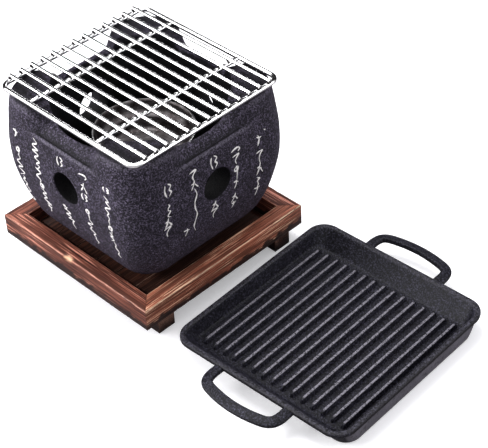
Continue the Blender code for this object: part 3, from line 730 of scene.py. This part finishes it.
def build_body():
    """One closed casting: rows of points up the wall, over the rim and down the cavity, with lined holes."""
    columns = body_columns()
    count = len(columns)
    near = [HOLE_Z + u for u in patch_lines()]
    widest = BODY_HALF.index(max(BODY_HALF))
    plans = [turn_to_side(*outer_plan(c, BODY_HALF[widest], BODY_CORNER[widest]), c[0]) for c in columns]
    weights = [ear_weight(x, y) for x, y in plans]
    rims = [lerp(RIM_DIP, RIM_EAR, w) for w in weights]
    profiles = [scoop_profile(w) for w in weights]
    verts, edge, inside, rows = [], [], [], []

    def add_row(points, edge_marks=0.0, inside_marks=0.0):
        rows.append(len(verts))
        verts.extend(points)
        edge.extend(spread(edge_marks, count))
        inside.extend(spread(inside_marks, count))

    for z in LOW_ROWS:
        add_row([wall_point(c, z) for c in columns])
    outer_first = len(rows)
    for z in near:
        add_row([wall_point(c, z) for c in columns])
    for k in range(1, 4):
        add_row([wall_point(c, lerp(near[-1], rim - rows_here[0][1], k / 4))
                 for c, rim, rows_here in zip(columns, rims, profiles)])
    for k in range(len(SCOOP_ROWS)):
        points = []
        for c, rim, rows_here in zip(columns, rims, profiles):
            inset, drop = rows_here[k]
            x, y, _ = wall_point(c, min(rim - drop, BODY_Z[-1]))
            mx, my, _ = cavity_point(c, rim)
            span = math.hypot(x - mx, y - my)
            t = min(inset / span, 1 - 1.3 / span)
            points.append((lerp(x, mx, t), lerp(y, my, t), rim - drop))
        # Paler edge marks are painted highlight near the scoop's ridge and on the rounded tops of the ears.
        # Darker marks are painted shade in the crease and on the ear tops.
        wear_and_highlight = [0.35 * w if k in (9, 10) else 0.7 * (1 - w) if k in (2, 3) else 0.0 for w in weights]
        crease_and_ear_shade = [max(VALLEY_DARK.get(k, 0.0) * (1 - w), EAR_DARK.get(k, 0.0) * w) for w in weights]
        add_row(points, wear_and_highlight, crease_and_ear_shade)
    # Darkening from the mouth down into the cavity: sooty metal and painted shade.
    for past, drop, soot_and_shade in MOUTH_ROWS:
        points = []
        for c, rim in zip(columns, rims):
            mx, my, _ = cavity_point(c, rim - drop)
            length = math.hypot(mx, my)
            points.append((mx * (1 + past / length), my * (1 + past / length), rim - drop))
        add_row(points, 0.0, soot_and_shade)
    last_drop = MOUTH_ROWS[-1][1]
    # Cavity rows are marked fully dark: sooty metal and painted shade.
    for k in range(1, 6):
        add_row([cavity_point(c, lerp(rim - last_drop, near[-1], k / 6)) for c, rim in zip(columns, rims)],
                0.0, 1.0)
    inner_first = len(rows)
    bottom = [lerp(near[0], CAVITY_Z[0], (k / CAVITY_STEPS) ** 0.8) for k in range(1, CAVITY_STEPS + 1)]
    for z in near[::-1] + bottom:
        add_row([cavity_point(c, z) for c in columns], 0.0, 1.0)

    firsts = [columns.index((side, "near", -HOLE_PATCH)) for side in range(4)]
    cells = range(HOLE_STEPS - HOLE_CELLS, HOLE_STEPS + HOLE_CELLS)
    open_cells = {(row, first + c) for first in firsts for r in cells for c in cells
                  for row in (outer_first + r, inner_first + 2 * HOLE_STEPS - 1 - r)}
    rings = [list(range(row, row + count)) for row in rows]
    faces = []
    for r in range(len(rows) - 1):
        faces += [quad for i, quad in enumerate(strip(rings[r], rings[r + 1])) if (r, i) not in open_cells]
    for ring, centre_z, hidden in ((rings[0], BODY_Z[0], 0.0), (rings[-1], CAVITY_Z[0], 1.0)):
        faces += [(a, b, len(verts)) for a, b in zip(ring, ring[1:] + ring[:1])]
        verts.append((0.0, 0.0, centre_z))
        edge.append(0.0)
        inside.append(hidden)
    for side, first in enumerate(firsts):
        outer_ring = [rows[outer_first + r] + first + c for r, c in hole_edge()]
        inner_ring = [rows[inner_first + 2 * HOLE_STEPS - r] + first + c for r, c in hole_edge()]
        previous = outer_ring
        for share, sink, wear_and_highlight in HOLE_LINING:
            ring = list(range(len(verts), len(verts) + len(outer_ring)))
            verts += [lining_point(np.array(verts[o]), np.array(verts[n]), side, share, sink)
                      for o, n in zip(outer_ring, inner_ring)]
            edge += [wear_and_highlight] * len(ring)
            # Painted shade deepening into the hole.
            inside += [min(share * 20 + sink * 0.8, 1.0)] * len(ring)
            faces += strip(previous, ring)
            previous = ring
        faces += strip(previous, inner_ring)
    shell = Shell().add(cast_surface(verts, inside), faces, edge=edge, inside=inside)
    body = make_mesh("body_casting", shell, STOVE)
    drop_loose(body)
    smooth(body, 60)
    return body


def cast_surface(verts, inside):
    """Small unevenness of a sand casting, inward only."""
    out = []
    for (x, y, z), hidden in zip(verts, inside):
        length = math.hypot(x, y)
        if length < 1.0 or z < 23.0:
            out.append((x, y, z))
            continue
        dent = 0.16 + 0.16 * wobble((x, y, z), 14.0, 3.0) + 0.07 * wobble((x, y, z), 4.0, 8.0)
        dent *= -1.0 if hidden > 0.5 else 1.0
        out.append((x * (1 - dent / length), y * (1 - dent / length), z))
    return out


def drop_loose(obj):
    """Removes the grid points inside the air holes, which no face uses."""
    bm = bmesh.new()
    bm.from_mesh(obj.data)
    bmesh.ops.delete(bm, geom=[v for v in bm.verts if not v.link_faces], context="VERTS")
    bm.to_mesh(obj.data)
    bm.free()


# ---------------------------------------------------------------- brushed marks

MARK_PROUD = 0.10
MARK_THICK = 0.16
MARK_STEP = 0.55
MARKED_WALLS = {"front": (Vector((0, -1, 0)), Vector((1, 0, 0))),     # outward, across
                "right": (Vector((1, 0, 0)), Vector((0, 1, 0)))}


def strokes_of(kind, height, rng):
    """Abstract brush strokes in a cell, as lists of (across, down) in millimetres. They form no writing."""
    def off(reach):
        return rng.uniform(-reach, reach)

    if kind == "tick":
        return [[(-3 + off(1), 1), (0, 2.4 + off(1)), (2.6, 2 + off(1))],
                [(-0.5 + off(1), 0), (0.3, 4), (-1.6, height)]]
    if kind == "dot":
        return [[(-0.6, 0), (0.2, 0.7), (1.0, 1.0)]]
    if kind == "dash":
        return [[(-4.5, 1.5), (-1, 0.4 + off(0.4)), (4, 0)], [(3.6, 0.4), (4.6, 2.0), (2.6, 3.8)]]
    if kind == "arcs":
        return [[(-2.6, 0.6), (-3.6, height * 0.5), (-2.0, height)],
                [(0.2, 0.2), (3.0, height * 0.25), (1.0, height * 0.5), (2.8, height * 0.72), (0.4, height)]]
    if kind == "loop":
        return [[(0, 0), (2.4, 1.6), (1.6, 4.4), (-1.2, 4.6), (-1.4, 2.0), (1.0, 1.4), (0.6, height)]]
    if kind == "hook":
        return [[(-3.4, 0.8), (0, 0.2), (3.4, 0.6), (0.8, 3.0), (-0.6, height * 0.6), (0.4, height)]]
    if kind == "fork":
        return [[(0.6, 0), (-0.6, height * 0.5), (-3.2, height)],
                [(-2.8, height * 0.36), (0.8, height * 0.3)],
                [(0.8, height * 0.44), (2.2, height * 0.7), (4.0, height)]]
    if kind == "line":
        n = 7
        return [[(1.3 * math.sin(i * 1.9) + off(0.5) + 0.1 * i, height * i / n) for i in range(n + 1)]]
    swings = max(int(height / 5.6), 2)
    path = []
    for i in range(swings * 2 + 1):
        reach = rng.uniform(0.4, 3.6) * (1 if i % 2 else -1)
        path.append((reach + off(0.8), height * i / (swings * 2) + off(1.2)))
    return [path]


# Columns of strokes: (across, top, slant, cells from the top down as kind:height)
LEFT_MARKS = [(-58.0, 139.0, -1.0, ["tick:8", "gap:9", "loop:9", "wave:22", "line:14", "wave:16"]),
              (-34.0, 141.0, 1.0, ["wave:30", "wave:14", "loop:8", "wave:18", "tick:9"]),
              (-3.0, 139.0, 1.0, ["arcs:9"]),
              (-6.5, 88.0, 3.0, ["tick:6", "wave:10", "hook:12"]),
              (24.0, 136.0, 1.0,
               ["dash:5", "gap:3", "fork:9", "gap:2", "arcs:7", "gap:8", "loop:12", "wave:30"]),
              (52.0, 138.0, -1.0, ["arcs:5", "gap:5", "wave:28", "loop:9", "wave:10", "line:18"])]
RIGHT_MARKS = [(-51.0, 139.0, -5.0, ["arcs:12", "gap:7", "line:13", "fork:9", "hook:10"]),
               (-33.0, 82.0, 0.0, ["tick:8"]),
               (-25.0, 136.0, 2.0, ["hook:9", "fork:8", "line:46"]),
               (-2.0, 138.0, -3.0, ["arcs:12"]),
               (-3.0, 93.0, -1.0, ["fork:9", "hook:10"]),
               (21.0, 132.0, -2.0,
                ["dash:6", "hook:9", "gap:2", "loop:14", "tick:8", "gap:6", "fork:9", "tick:7"]),
               (54.0, 133.0, 0.0, ["dot:1"]),
               (47.0, 131.0, 0.0, ["tick:10", "gap:6", "hook:12", "fork:12", "gap:2", "wave:12", "tick:10"])]


def brush_ribbon(shell, tree, side, points, width, rng):
    """Thin closed strip of paint that follows the wall, swelling and thinning like a brush line. The points
    are (across, height) in millimetres; a strip that misses the wall isn't drawn."""
    outward, across = MARKED_WALLS[side]
    stove_foot = Vector((STOVE.x, STOVE.y, 0))
    line = curve_through(points, MARK_STEP)
    total = len(line)
    rings, dry = [], []
    for k, (u, z) in enumerate(line):
        start = stove_foot + outward * 0.2 + across * u * MM + Vector((0, 0, z * MM))
        hit, normal, _, _ = tree.ray_cast(start, -outward)
        if hit is None:
            return
        way = np.array(line[min(k + 1, total - 1)]) - np.array(line[max(k - 1, 0)])
        way /= max(np.linalg.norm(way), 1e-6)
        flat = across * (-way[1]) + Vector((0, 0, 1)) * way[0]
        flat = (flat - normal * flat.dot(normal)).normalized()
        t = k / (total - 1)
        taper = min(1.0, 0.35 + 5 * t, 0.25 + 4 * (1 - t))
        half = width / 2 * taper * (0.82 + 0.25 * math.sin(k * 0.37 + width * 9) + rng.uniform(-0.06, 0.06))
        foot = hit - normal * MARK_PROUD * MM
        top = hit + normal * MARK_THICK * MM
        ring = [foot - flat * half * MM, top - flat * half * 0.8 * MM, top + normal * 0.04 * MM,
                top + flat * half * 0.8 * MM, foot + flat * half * MM]
        rings.append([(p - stove_foot) / MM for p in ring])
        dry.append(min(1.0, 0.25 + 0.9 * t))
    verts = [tuple(p) for ring in rings for p in ring]
    shell.add(verts, ring_faces(5, total), dry=[d for d in dry for _ in range(5)])


def build_marks(body):
    tree = BVHTree.FromPolygons([body.matrix_world @ v.co for v in body.data.vertices],
                                [tuple(p.vertices) for p in body.data.polygons])
    for side, marks, seed in (("front", LEFT_MARKS, 11), ("right", RIGHT_MARKS, 29)):
        rng = random.Random(seed)
        shell = Shell()
        for u0, z0, slant, cells in marks:
            used, total = 0.0, sum(float(c.split(":")[1]) for c in cells)
            for cell in cells:
                kind, height = cell.split(":")
                height = float(height)
                if kind != "gap":
                    for stroke in strokes_of(kind, height, rng):
                        points = [(u0 + slant * used / total + a, z0 - used - d) for a, d in stroke]
                        if len(points) == 2:
                            points.insert(1, tuple((points[0][i] + points[1][i]) / 2 for i in range(2)))
                        brush_ribbon(shell, tree, side, points, rng.uniform(1.4, 1.95), rng)
                used += height
        piece = make_mesh(f"brush_marks_{side}", shell, STOVE)
        smooth(piece, 60)
        place(piece, brush_material(f"brushed_enamel_{side}"), "stove")


# ---------------------------------------------------------------- bowl and its stand

BOWL_PROFILE = [(0.0, 96.3), (14.0, 96.3), (15.5, 95.8), (24.0, 95.7), (30.4, 95.7), (33.2, 97.2),
                (34.1, 100.0), (34.5, 107.4), (35.2, 108.3), (38.3, 109.3), (40.3, 113.0), (41.3, 118.6),
                (41.8, 119.6),
                (42.9, 119.8), (43.4, 120.4), (42.9, 121.0), (41.6, 121.2), (40.6, 120.4), (39.9, 118.4),
                (39.0, 113.6), (37.2, 110.8), (34.6, 109.6), (33.2, 108.0), (32.8, 101.0), (32.0, 98.6),
                (29.6, 97.2), (24.0, 97.1), (15.5, 97.2), (14.0, 97.7), (0.0, 97.7)]
BOWL_SIDES = 112
BOWL_LIP_R, BOWL_LIP_Z = 41.6, 119.5    # the bright lip, polished and also a painted highlight, lies outside and above these


def build_bowl():
    profile = [tuple(p) for p in chaikin(BOWL_PROFILE, 2)][1:-1]
    verts, edge = [], []
    for r, z in profile:
        for a in turns(BOWL_SIDES):
            dent = 0.12 * wobble((r * math.cos(a), r * math.sin(a), z), 9.0, 5.0)
            verts.append(((r + dent) * math.cos(a), (r + dent) * math.sin(a), z))
            edge.append(smoothstep((r - BOWL_LIP_R) / 0.8) if z > BOWL_LIP_Z else 0.0)
    part = verts, ring_faces(BOWL_SIDES, len(profile)), {"edge": edge}
    add_piece("bowl", part, STOVE, 50, spun_steel_material("spun_steel", STOVE), "bowl", "bowl_steel",
              ["fire_bowl"])


WIRE_END = [(0.0, 0.45, 1.0), (0.12, 0.82, 1.0), (0.4, 0.97, 0.3), (0.8, 1.0, 0.0)]  # (in mm, radius, scale)


def tube(path, radius, sides, closed=False, end_scale=0.0):
    """Round wire along a path in millimetres; open ends are softly domed and scaled."""
    path = [Vector(p) for p in path]
    last = len(path) - 1
    rings = []
    for k, mid in enumerate(path):
        before = path[k - 1] if closed or k else mid
        after = path[(k + 1) % len(path)] if closed or k < last else mid
        tangent = (after - before).normalized()
        if closed or 0 < k < last:
            rings.append((mid, tangent, radius, 0.0))
            continue
        inward = tangent if k == 0 else -tangent
        end = [(mid + inward * back, tangent, radius * share, end_scale * dark)
               for back, share, dark in WIRE_END]
        rings += end if k == 0 else end[::-1]
    verts, scale = [], []
    for mid, tangent, ring_radius, mark in rings:
        side = tangent.cross(Vector((0, 0, 1)))
        side = side.normalized() if side.length > 1e-4 else Vector((1, 0, 0))
        up = side.cross(tangent).normalized()
        verts += [tuple(mid + (side * math.cos(a) + up * math.sin(a)) * ring_radius) for a in turns(sides)]
        scale += [mark] * sides
    return verts, ring_faces(sides, len(rings), closed_rings=closed), {"scale": scale}


STAND_WIRE_R = 2.0
STAND_RING_R = 37.2
STAND_FOOT_R = 39.0


def build_stand():
    steel = wire_material("stand_steel", (0.42, 0.41, 0.41), 0.34, 0.8)
    z = middle("bowl_stand_ring").z / MM
    path = [(STAND_RING_R * math.cos(a), STAND_RING_R * math.sin(a), z) for a in turns(96)]
    add_piece("stand_ring", tube(path, STAND_WIRE_R, 16, closed=True), STOVE, 50,
              steel, "stove", "stand_wire", ["bowl_stand_ring"])
    for k in range(4):
        node = f"bowl_stand_leg_{k + 1}"
        low, high = box_mm(node)
        a = math.pi / 4 + k * math.pi / 2
        foot, head = (np.array((r * math.cos(a), r * math.sin(a), z))
                      for r, z in ((STAND_FOOT_R, low.z), (STAND_RING_R, high.z)))
        line = [tuple(lerp(foot, head, i / 12)) for i in range(13)]
        add_piece(f"stand_leg_{k + 1}", tube(line, STAND_WIRE_R, 16, end_scale=0.6), STOVE, 50,
                  steel, "stove", "stand_wire", [node])


# ---------------------------------------------------------------- rack

def rounded_path(half_x, half_y, radius, corner_steps, side_steps):
    """Rectangle with round corners, anticlockwise."""
    points = []
    corners = [(1, 1), (-1, 1), (-1, -1), (1, -1)]
    for k in range(4):
        arc = [(k + i / corner_steps) * math.pi / 2 for i in range(corner_steps + 1)]
        (cx, cy), (nx, ny) = ((sx * (half_x - radius), sy * (half_y - radius))
                              for sx, sy in (corners[k], corners[(k + 1) % 4]))
        points += [(cx + radius * math.cos(a), cy + radius * math.sin(a)) for a in arc]
        start, end = points[-1], (nx + radius * math.cos(arc[-1]), ny + radius * math.sin(arc[-1]))
        points += [(lerp(start[0], end[0], i / side_steps), lerp(start[1], end[1], i / side_steps))
                   for i in range(1, side_steps)]
    return points


def bead(shell, centre, radii, seed, scale):
    """Small lump of weld metal, slightly uneven."""
    rows, sides = 7, 12
    verts = []
    for k in range(1, rows):
        b = math.pi * k / rows
        for a in turns(sides):
            d = (math.sin(b) * math.cos(a), math.sin(b) * math.sin(a), math.cos(b))
            r = 1 + 0.16 * wobble((d[0] * 9, d[1] * 9, d[2] * 9), 5.0, seed)
            verts.append(tuple(centre[j] + d[j] * radii[j] * r for j in range(3)))
    shell.add(verts, ring_faces(sides, rows - 1), scale=scale)


FRAME_WIRE_R = 2.1
SUPPORT_WIRE_R = 2.0
BAR_WIRE_R = 1.6


def build_rack():
    chrome = wire_material("rack_chrome", (0.985, 0.985, 0.99), 0.11, 1.0)

    def add_wire(name, node, part):
        add_piece(name, part, STOVE, 50, chrome, "rack", "rack_wire", [node])

    low, high = box_mm("rack_frame", STOVE)
    z = middle("rack_frame").z / MM
    half_x, half_y = (high.x - low.x) / 2 - FRAME_WIRE_R, (high.y - low.y) / 2 - FRAME_WIRE_R
    path = [(x, y, z) for x, y in rounded_path(half_x, half_y, 8.0, 16, 24)]
    add_wire("rack_rim", "rack_frame", tube(path, FRAME_WIRE_R, 20, closed=True))
    welds = Shell()
    supports = []
    for k in (1, 2):
        node = f"rack_support_{k}"
        low, high = box_mm(node, STOVE)
        z, x = middle(node).z / MM, (low.x + high.x) / 2
        supports.append(x)
        line = [(x, lerp(low.y, high.y, i / 40), z) for i in range(41)]
        add_wire(f"rack_cross_wire_{k}", node, tube(line, SUPPORT_WIRE_R, 18, end_scale=0.8))
        for y in (low.y, high.y):
            bead(welds, (x, y, z + 0.2), (2.3, 1.3, 1.7), x + y, 0.5)
    for k in range(13):
        node = f"rack_bar_{k + 1:02d}"
        low, high = box_mm(node, STOVE)
        z, y = middle(node).z / MM, (low.y + high.y) / 2
        line = [(lerp(low.x, high.x, i / 40), y + 0.12 * math.sin(i * 0.35 + k), z) for i in range(41)]
        add_wire(f"rack_wire_{k + 1:02d}", node, tube(line, BAR_WIRE_R, 18, end_scale=0.8))
        # Dark weld spots under the bars' ends, larger on the -X side, where they also paint the shade under
        # the bar ends.
        for x, reach in ((-half_x, 2.5), (half_x, 1.9)):
            bead(welds, (x + math.copysign(0.6, x), y, z - 1.4), (1.9, reach, 1.1), k + x, 1.0)
        for x in supports:
            bead(welds, (x, y, z - 1.6), (2.9, 1.8, 0.9), k - x, 1.0)
    piece = make_mesh("rack_welds", welds, STOVE)
    smooth(piece, 60)
    place(piece, chrome, "rack", "rack_wire")


# ---------------------------------------------------------------- griddle

# (half-size in x, half-size in y, corner radius, height), from the base up the outside and down the inside
GRIDDLE_PROFILE = [(81.2, 78.2, 11.2, 0.0), (82.6, 79.6, 12.5, 0.05), (84.2, 81.2, 14.0, 1.4),
                   (85.0, 87.0, 14.0, 14.0),
                   (85.2, 88.0, 14.0, 15.2), (86.0, 91.6, 16.0, 15.6), (86.7, 92.5, 16.6, 16.4),
                   (86.8, 92.6, 16.6, 17.6), (86.8, 92.6, 16.6, 19.0), (86.3, 92.0, 16.0, 19.9),
                   (85.2, 90.9, 15.0, 20.0), (83.6, 89.2, 13.4, 20.0), (82.5, 87.8, 12.4, 19.4),
                   (82.0, 86.8, 11.8, 18.0), (80.4, 79.0, 10.2, 7.6), (80.0, 77.6, 9.8, 6.0),
                   (78.9, 76.0, 8.8, 5.1), (76.5, 73.6, 6.5, 5.0)]
RIB_COUNT = 15
RIB_PITCH = 10.06
RIB_HALF_LENGTH = 71.8
RIB_FOOT_Z = 4.0
RIB_END = [(0.0, 0.10), (0.25, 0.42), (0.7, 0.68), (1.4, 0.86), (2.4, 0.96), (3.6, 1.0)]  # (mm in, size)
RIB_HALF_SECTION = [(2.6, 0.85), (2.2, 1.12), (1.95, 1.8), (1.15, 5.0), (0.85, 5.45), (0.4, 5.5)]
HANDLE_PATH = [(35.4, 89.2), (35.5, 93.0), (35.6, 98.0), (35.2, 103.0), (33.4, 108.0), (29.0, 111.4),
               (20.0, 113.8), (10.0, 115.3), (0.0, 115.8)]
HANDLE_SECTION = [(-4.4, -1.9), (-4.4, 1.5), (-4.0, 2.4), (-3.0, 2.6), (-0.6, 2.3), (3.0, 1.1), (4.2, 0.3),
                  (4.5, -0.7), (4.3, -2.0), (3.6, -2.6), (-3.5, -2.6)]
HANDLE_Z = 17.0


def build_griddle():
    profile = chaikin(GRIDDLE_PROFILE, 2)
    verts = [(x, y, z) for hx, hy, r, z in profile for x, y in rounded_path(hx, hy, r, 12, 20)]
    faces = ring_faces(len(verts) // len(profile), len(profile))
    shell = Shell().add(verts, faces, edge=0.0, inside=0.0, pale=0.0)
    pan = make_mesh("griddle_pan_casting", shell, GRIDDLE, GRIDDLE_TURN)
    boolean(pan, rib_shells(), "UNION", GRIDDLE, GRIDDLE_TURN)
    for side in (-1, 1):
        boolean(pan, handle_shell(side), "UNION", GRIDDLE, GRIDDLE_TURN)
    mark_griddle(pan)
    smooth(pan, 34)
    finish = casting_material("griddle_cast_finish", (0.0145, 0.014, 0.0205), (0.20, 0.19, 0.225),
                              1.3, 0.45, 0.3)
    place(pan, finish, "griddle_pan", "griddle_casting", ["griddle"])


def mark_griddle(pan):
    """Painted highlight on the rib tops and faintly on the rim's top, painted shade on the rim's outer lip
    and under the handles, and painted light on the paler outer wall on +X."""
    crest = RIB_FOOT_Z + RIB_HALF_SECTION[-1][1]
    rim_x, rim_y = GRIDDLE_PROFILE[8][:2]
    cos, sin = math.cos(GRIDDLE_TURN), math.sin(GRIDDLE_TURN)
    values = {"edge": [], "inside": [], "pale": []}
    for vertex in pan.data.vertices:
        across, along = (vertex.co.x - GRIDDLE.x) / MM, (vertex.co.y - GRIDDLE.y) / MM
        z = vertex.co.z / MM
        x, y = across * cos + along * sin, along * cos - across * sin
        rib = max(abs(x), abs(y)) < RIB_HALF_LENGTH + 2.0 and abs(z - crest) < 0.2
        reach = max(abs(x) / rim_x, abs(y) / rim_y)
        on_rim = reach < 1.001 and z > 16.2
        lip = smoothstep((reach - 0.988) / 0.008) if on_rim else 0.0
        # Painted highlight on the rib tops and, faintly, on the rim's top.
        values["edge"].append(1.0 if rib else 0.10 * smoothstep((z - 18.2) / 1.2) if on_rim else 0.0)
        # Painted shade on the rim's outer lip and under the handles.
        under = smoothstep((HANDLE_Z + 0.4 - z) / 1.4) if abs(y) > rim_y + 0.5 else 0.0
        values["inside"].append(0.8 * max(lip, under))
        # Painted light on the outer wall on +X.
        values["pale"].append(smoothstep((x - 80.8) / 0.8) if z < 15.5 and abs(y) < rim_y else 0.0)
    for name, row in values.items():
        pan.data.attributes[name].data.foreach_set("value", row)


def rib_shells():
    """The ribs as closed bars that start below the floor and slope off at their ends."""
    shell = Shell()
    half = chaikin(RIB_HALF_SECTION, 1)
    section = [(-2.6, -0.6)] + [(-u, v) for u, v in half] + [(u, v) for u, v in half[::-1]] + [(2.6, -0.6)]
    flat = RIB_HALF_LENGTH - RIB_END[-1][0]
    rings = [(-RIB_HALF_LENGTH + d, s) for d, s in RIB_END]
    rings += [(lerp(-flat, flat, i / 24), 1.0) for i in range(1, 24)]
    rings += [(RIB_HALF_LENGTH - d, s) for d, s in RIB_END[::-1]]
    for k in range(RIB_COUNT):
        x0 = -(RIB_COUNT - 1) / 2 * RIB_PITCH + k * RIB_PITCH
        verts = [(x0 + u * (0.55 + 0.45 * share), y, RIB_FOOT_Z + (v * share if v > 0 else v))
                 for y, share in rings for u, v in section]
        shell.add(verts, ring_faces(len(section), len(rings)))
    return shell


def handle_shell(side):
    """Loop handle on the +Y (1) or -Y (-1) side: the section carried along the path and its mirror image."""
    path = [tuple(p) for p in curve_through(HANDLE_PATH + [(-x, y) for x, y in HANDLE_PATH[-2::-1]], 2.0)]
    section = chaikin(HANDLE_SECTION, 1, closed=True)
    verts = []
    for k, (x, y) in enumerate(path):
        before, after = path[max(k - 1, 0)], path[min(k + 1, len(path) - 1)]
        tx, ty = after[0] - before[0], after[1] - before[1]
        length = math.hypot(tx, ty)
        out = (ty / length, -tx / length)
        if x * out[0] + (y - 90.0) * out[1] < 0:
            out = (-out[0], -out[1])
        for u, v in section:
            verts.append((x + out[0] * u, side * (y + out[1] * u), HANDLE_Z + v))
    return Shell().add(verts, ring_faces(len(section), len(path)))


# ---------------------------------------------------------------- screws

def finish_screws():
    steel = wire_material("screw_steel_finish", (0.6, 0.59, 0.56), 0.3, 0.0)
    for k in range(1, 5):
        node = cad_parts[f"skid_screw_{k}"]
        node.data.materials.clear()
        node.data.materials.append(steel)


# ---------------------------------------------------------------- stage

def build_floor():
    bpy.ops.mesh.primitive_grid_add(x_subdivisions=8, y_subdivisions=8, size=6.0, location=(0, 0, -0.0002))
    floor = bpy.context.object
    floor.name = "floor"
    floor.data.materials.append(floor_material("pale_floor"))


def build_world():
    """White to the camera. Surfaces see a soft ceiling, dark at the horizon and dimmer on the +X side;
    gloss sees it brighter, with a black flag low down on the -X and +Y side."""
    world = bpy.data.worlds.new("studio")
    bpy.context.scene.world = world
    world.use_nodes = True
    world.node_tree.nodes.clear()
    p = Nodes(world.node_tree)
    coords = p.node("ShaderNodeTexCoord").outputs["Generated"]
    x, _, z = p.split(coords)

    def background(colour, strength):
        return p.node("ShaderNodeBackground", {"Color": colour, "Strength": strength}).outputs[0]

    ceiling = p.dimmed(p.ramp(z, [(0.0, 0.05), (0.2, 0.35), (0.5, 0.9)]), p.band(x, -0.5, 0.6, 1.0, 0.82))
    flag_side = p.node("ShaderNodeVectorMath", {0: coords, 1: (-0.71, 0.71, 0.0)}, operation="DOT_PRODUCT")
    beside_flag = p.band(flag_side.outputs["Value"], 0.15, 0.4, 1.0, 0.0)
    over_flag = p.band(z, 0.80, 0.92)
    gloss = p.dimmed(p.ramp(z, [(0.02, 0.03), (0.16, 0.5), (0.34, 1.0)]),
                     p.math("MAXIMUM", beside_flag, over_flag))
    lit = p.for_rays("Is Glossy Ray", background(ceiling, 1.0), background(gloss, 1.25))
    seen = p.for_rays("Is Camera Ray", lit, background((1.0, 1.0, 1.0, 1.0), 1.05))
    p.node("ShaderNodeOutputWorld", {"Surface": seen})


def area_light(name, place_at, target, size, power):
    data = bpy.data.lights.new(name, "AREA")
    data.shape = "DISK"
    data.size = size
    data.energy = power
    light = bpy.data.objects.new(name, data)
    light.location = place_at
    light.rotation_mode = "QUATERNION"
    light.rotation_quaternion = (Vector(place_at) - Vector(target)).to_track_quat("Z", "Y")
    bpy.context.scene.collection.objects.link(light)


def build_lights():
    centre = (STOVE.x, STOVE.y, 0.08)
    area_light("ceiling", (STOVE.x - 0.35, STOVE.y + 0.1, 1.25), centre, 0.9, 12.0)
    area_light("left_fill", (STOVE.x - 0.70, STOVE.y - 1.0, 0.62), centre, 1.0, 22.0)
    area_light("right_fill", (STOVE.x + 1.0, STOVE.y + 0.62, 0.42), centre, 0.7, 4.2)


def build_camera():
    data = bpy.data.cameras.new("camera")
    data.lens = CAMERA_LENS
    data.sensor_fit = "HORIZONTAL"
    data.clip_start, data.clip_end = 0.05, 20.0
    camera = bpy.data.objects.new("camera", data)
    a, e, r = CAMERA_AZIMUTH, CAMERA_ELEVATION, CAMERA_ROLL
    right = Vector((math.cos(a), math.sin(a), 0.0))
    back = Vector((math.sin(a) * math.cos(e), -math.cos(a) * math.cos(e), math.sin(e)))
    up = back.cross(right)
    rolled_right = right * math.cos(r) + up * math.sin(r)
    rolled_up = up * math.cos(r) - right * math.sin(r)
    camera.matrix_world = Matrix.Translation(Vector((TRAY.x, TRAY.y, 0.0)) + CAMERA_OFFSET) @ Matrix(
        (rolled_right, rolled_up, back)).transposed().to_4x4()
    bpy.context.scene.collection.objects.link(camera)
    bpy.context.scene.camera = camera


def main():
    bpy.context.scene.view_settings.view_transform = "Standard"
    build_rails()
    build_planks()
    build_skids()
    body = build_body()
    build_marks(body)
    finish = casting_material("body_cast_finish", (0.037, 0.0315, 0.048), (0.155, 0.14, 0.185),
                              1.35, 0.66, 0.6)
    place(body, finish, "stove", "body_casting", ["stove_body"])
    build_bowl()
    build_stand()
    build_rack()
    build_griddle()
    finish_screws()
    build_floor()
    build_world()
    build_lights()
    build_camera()


main()
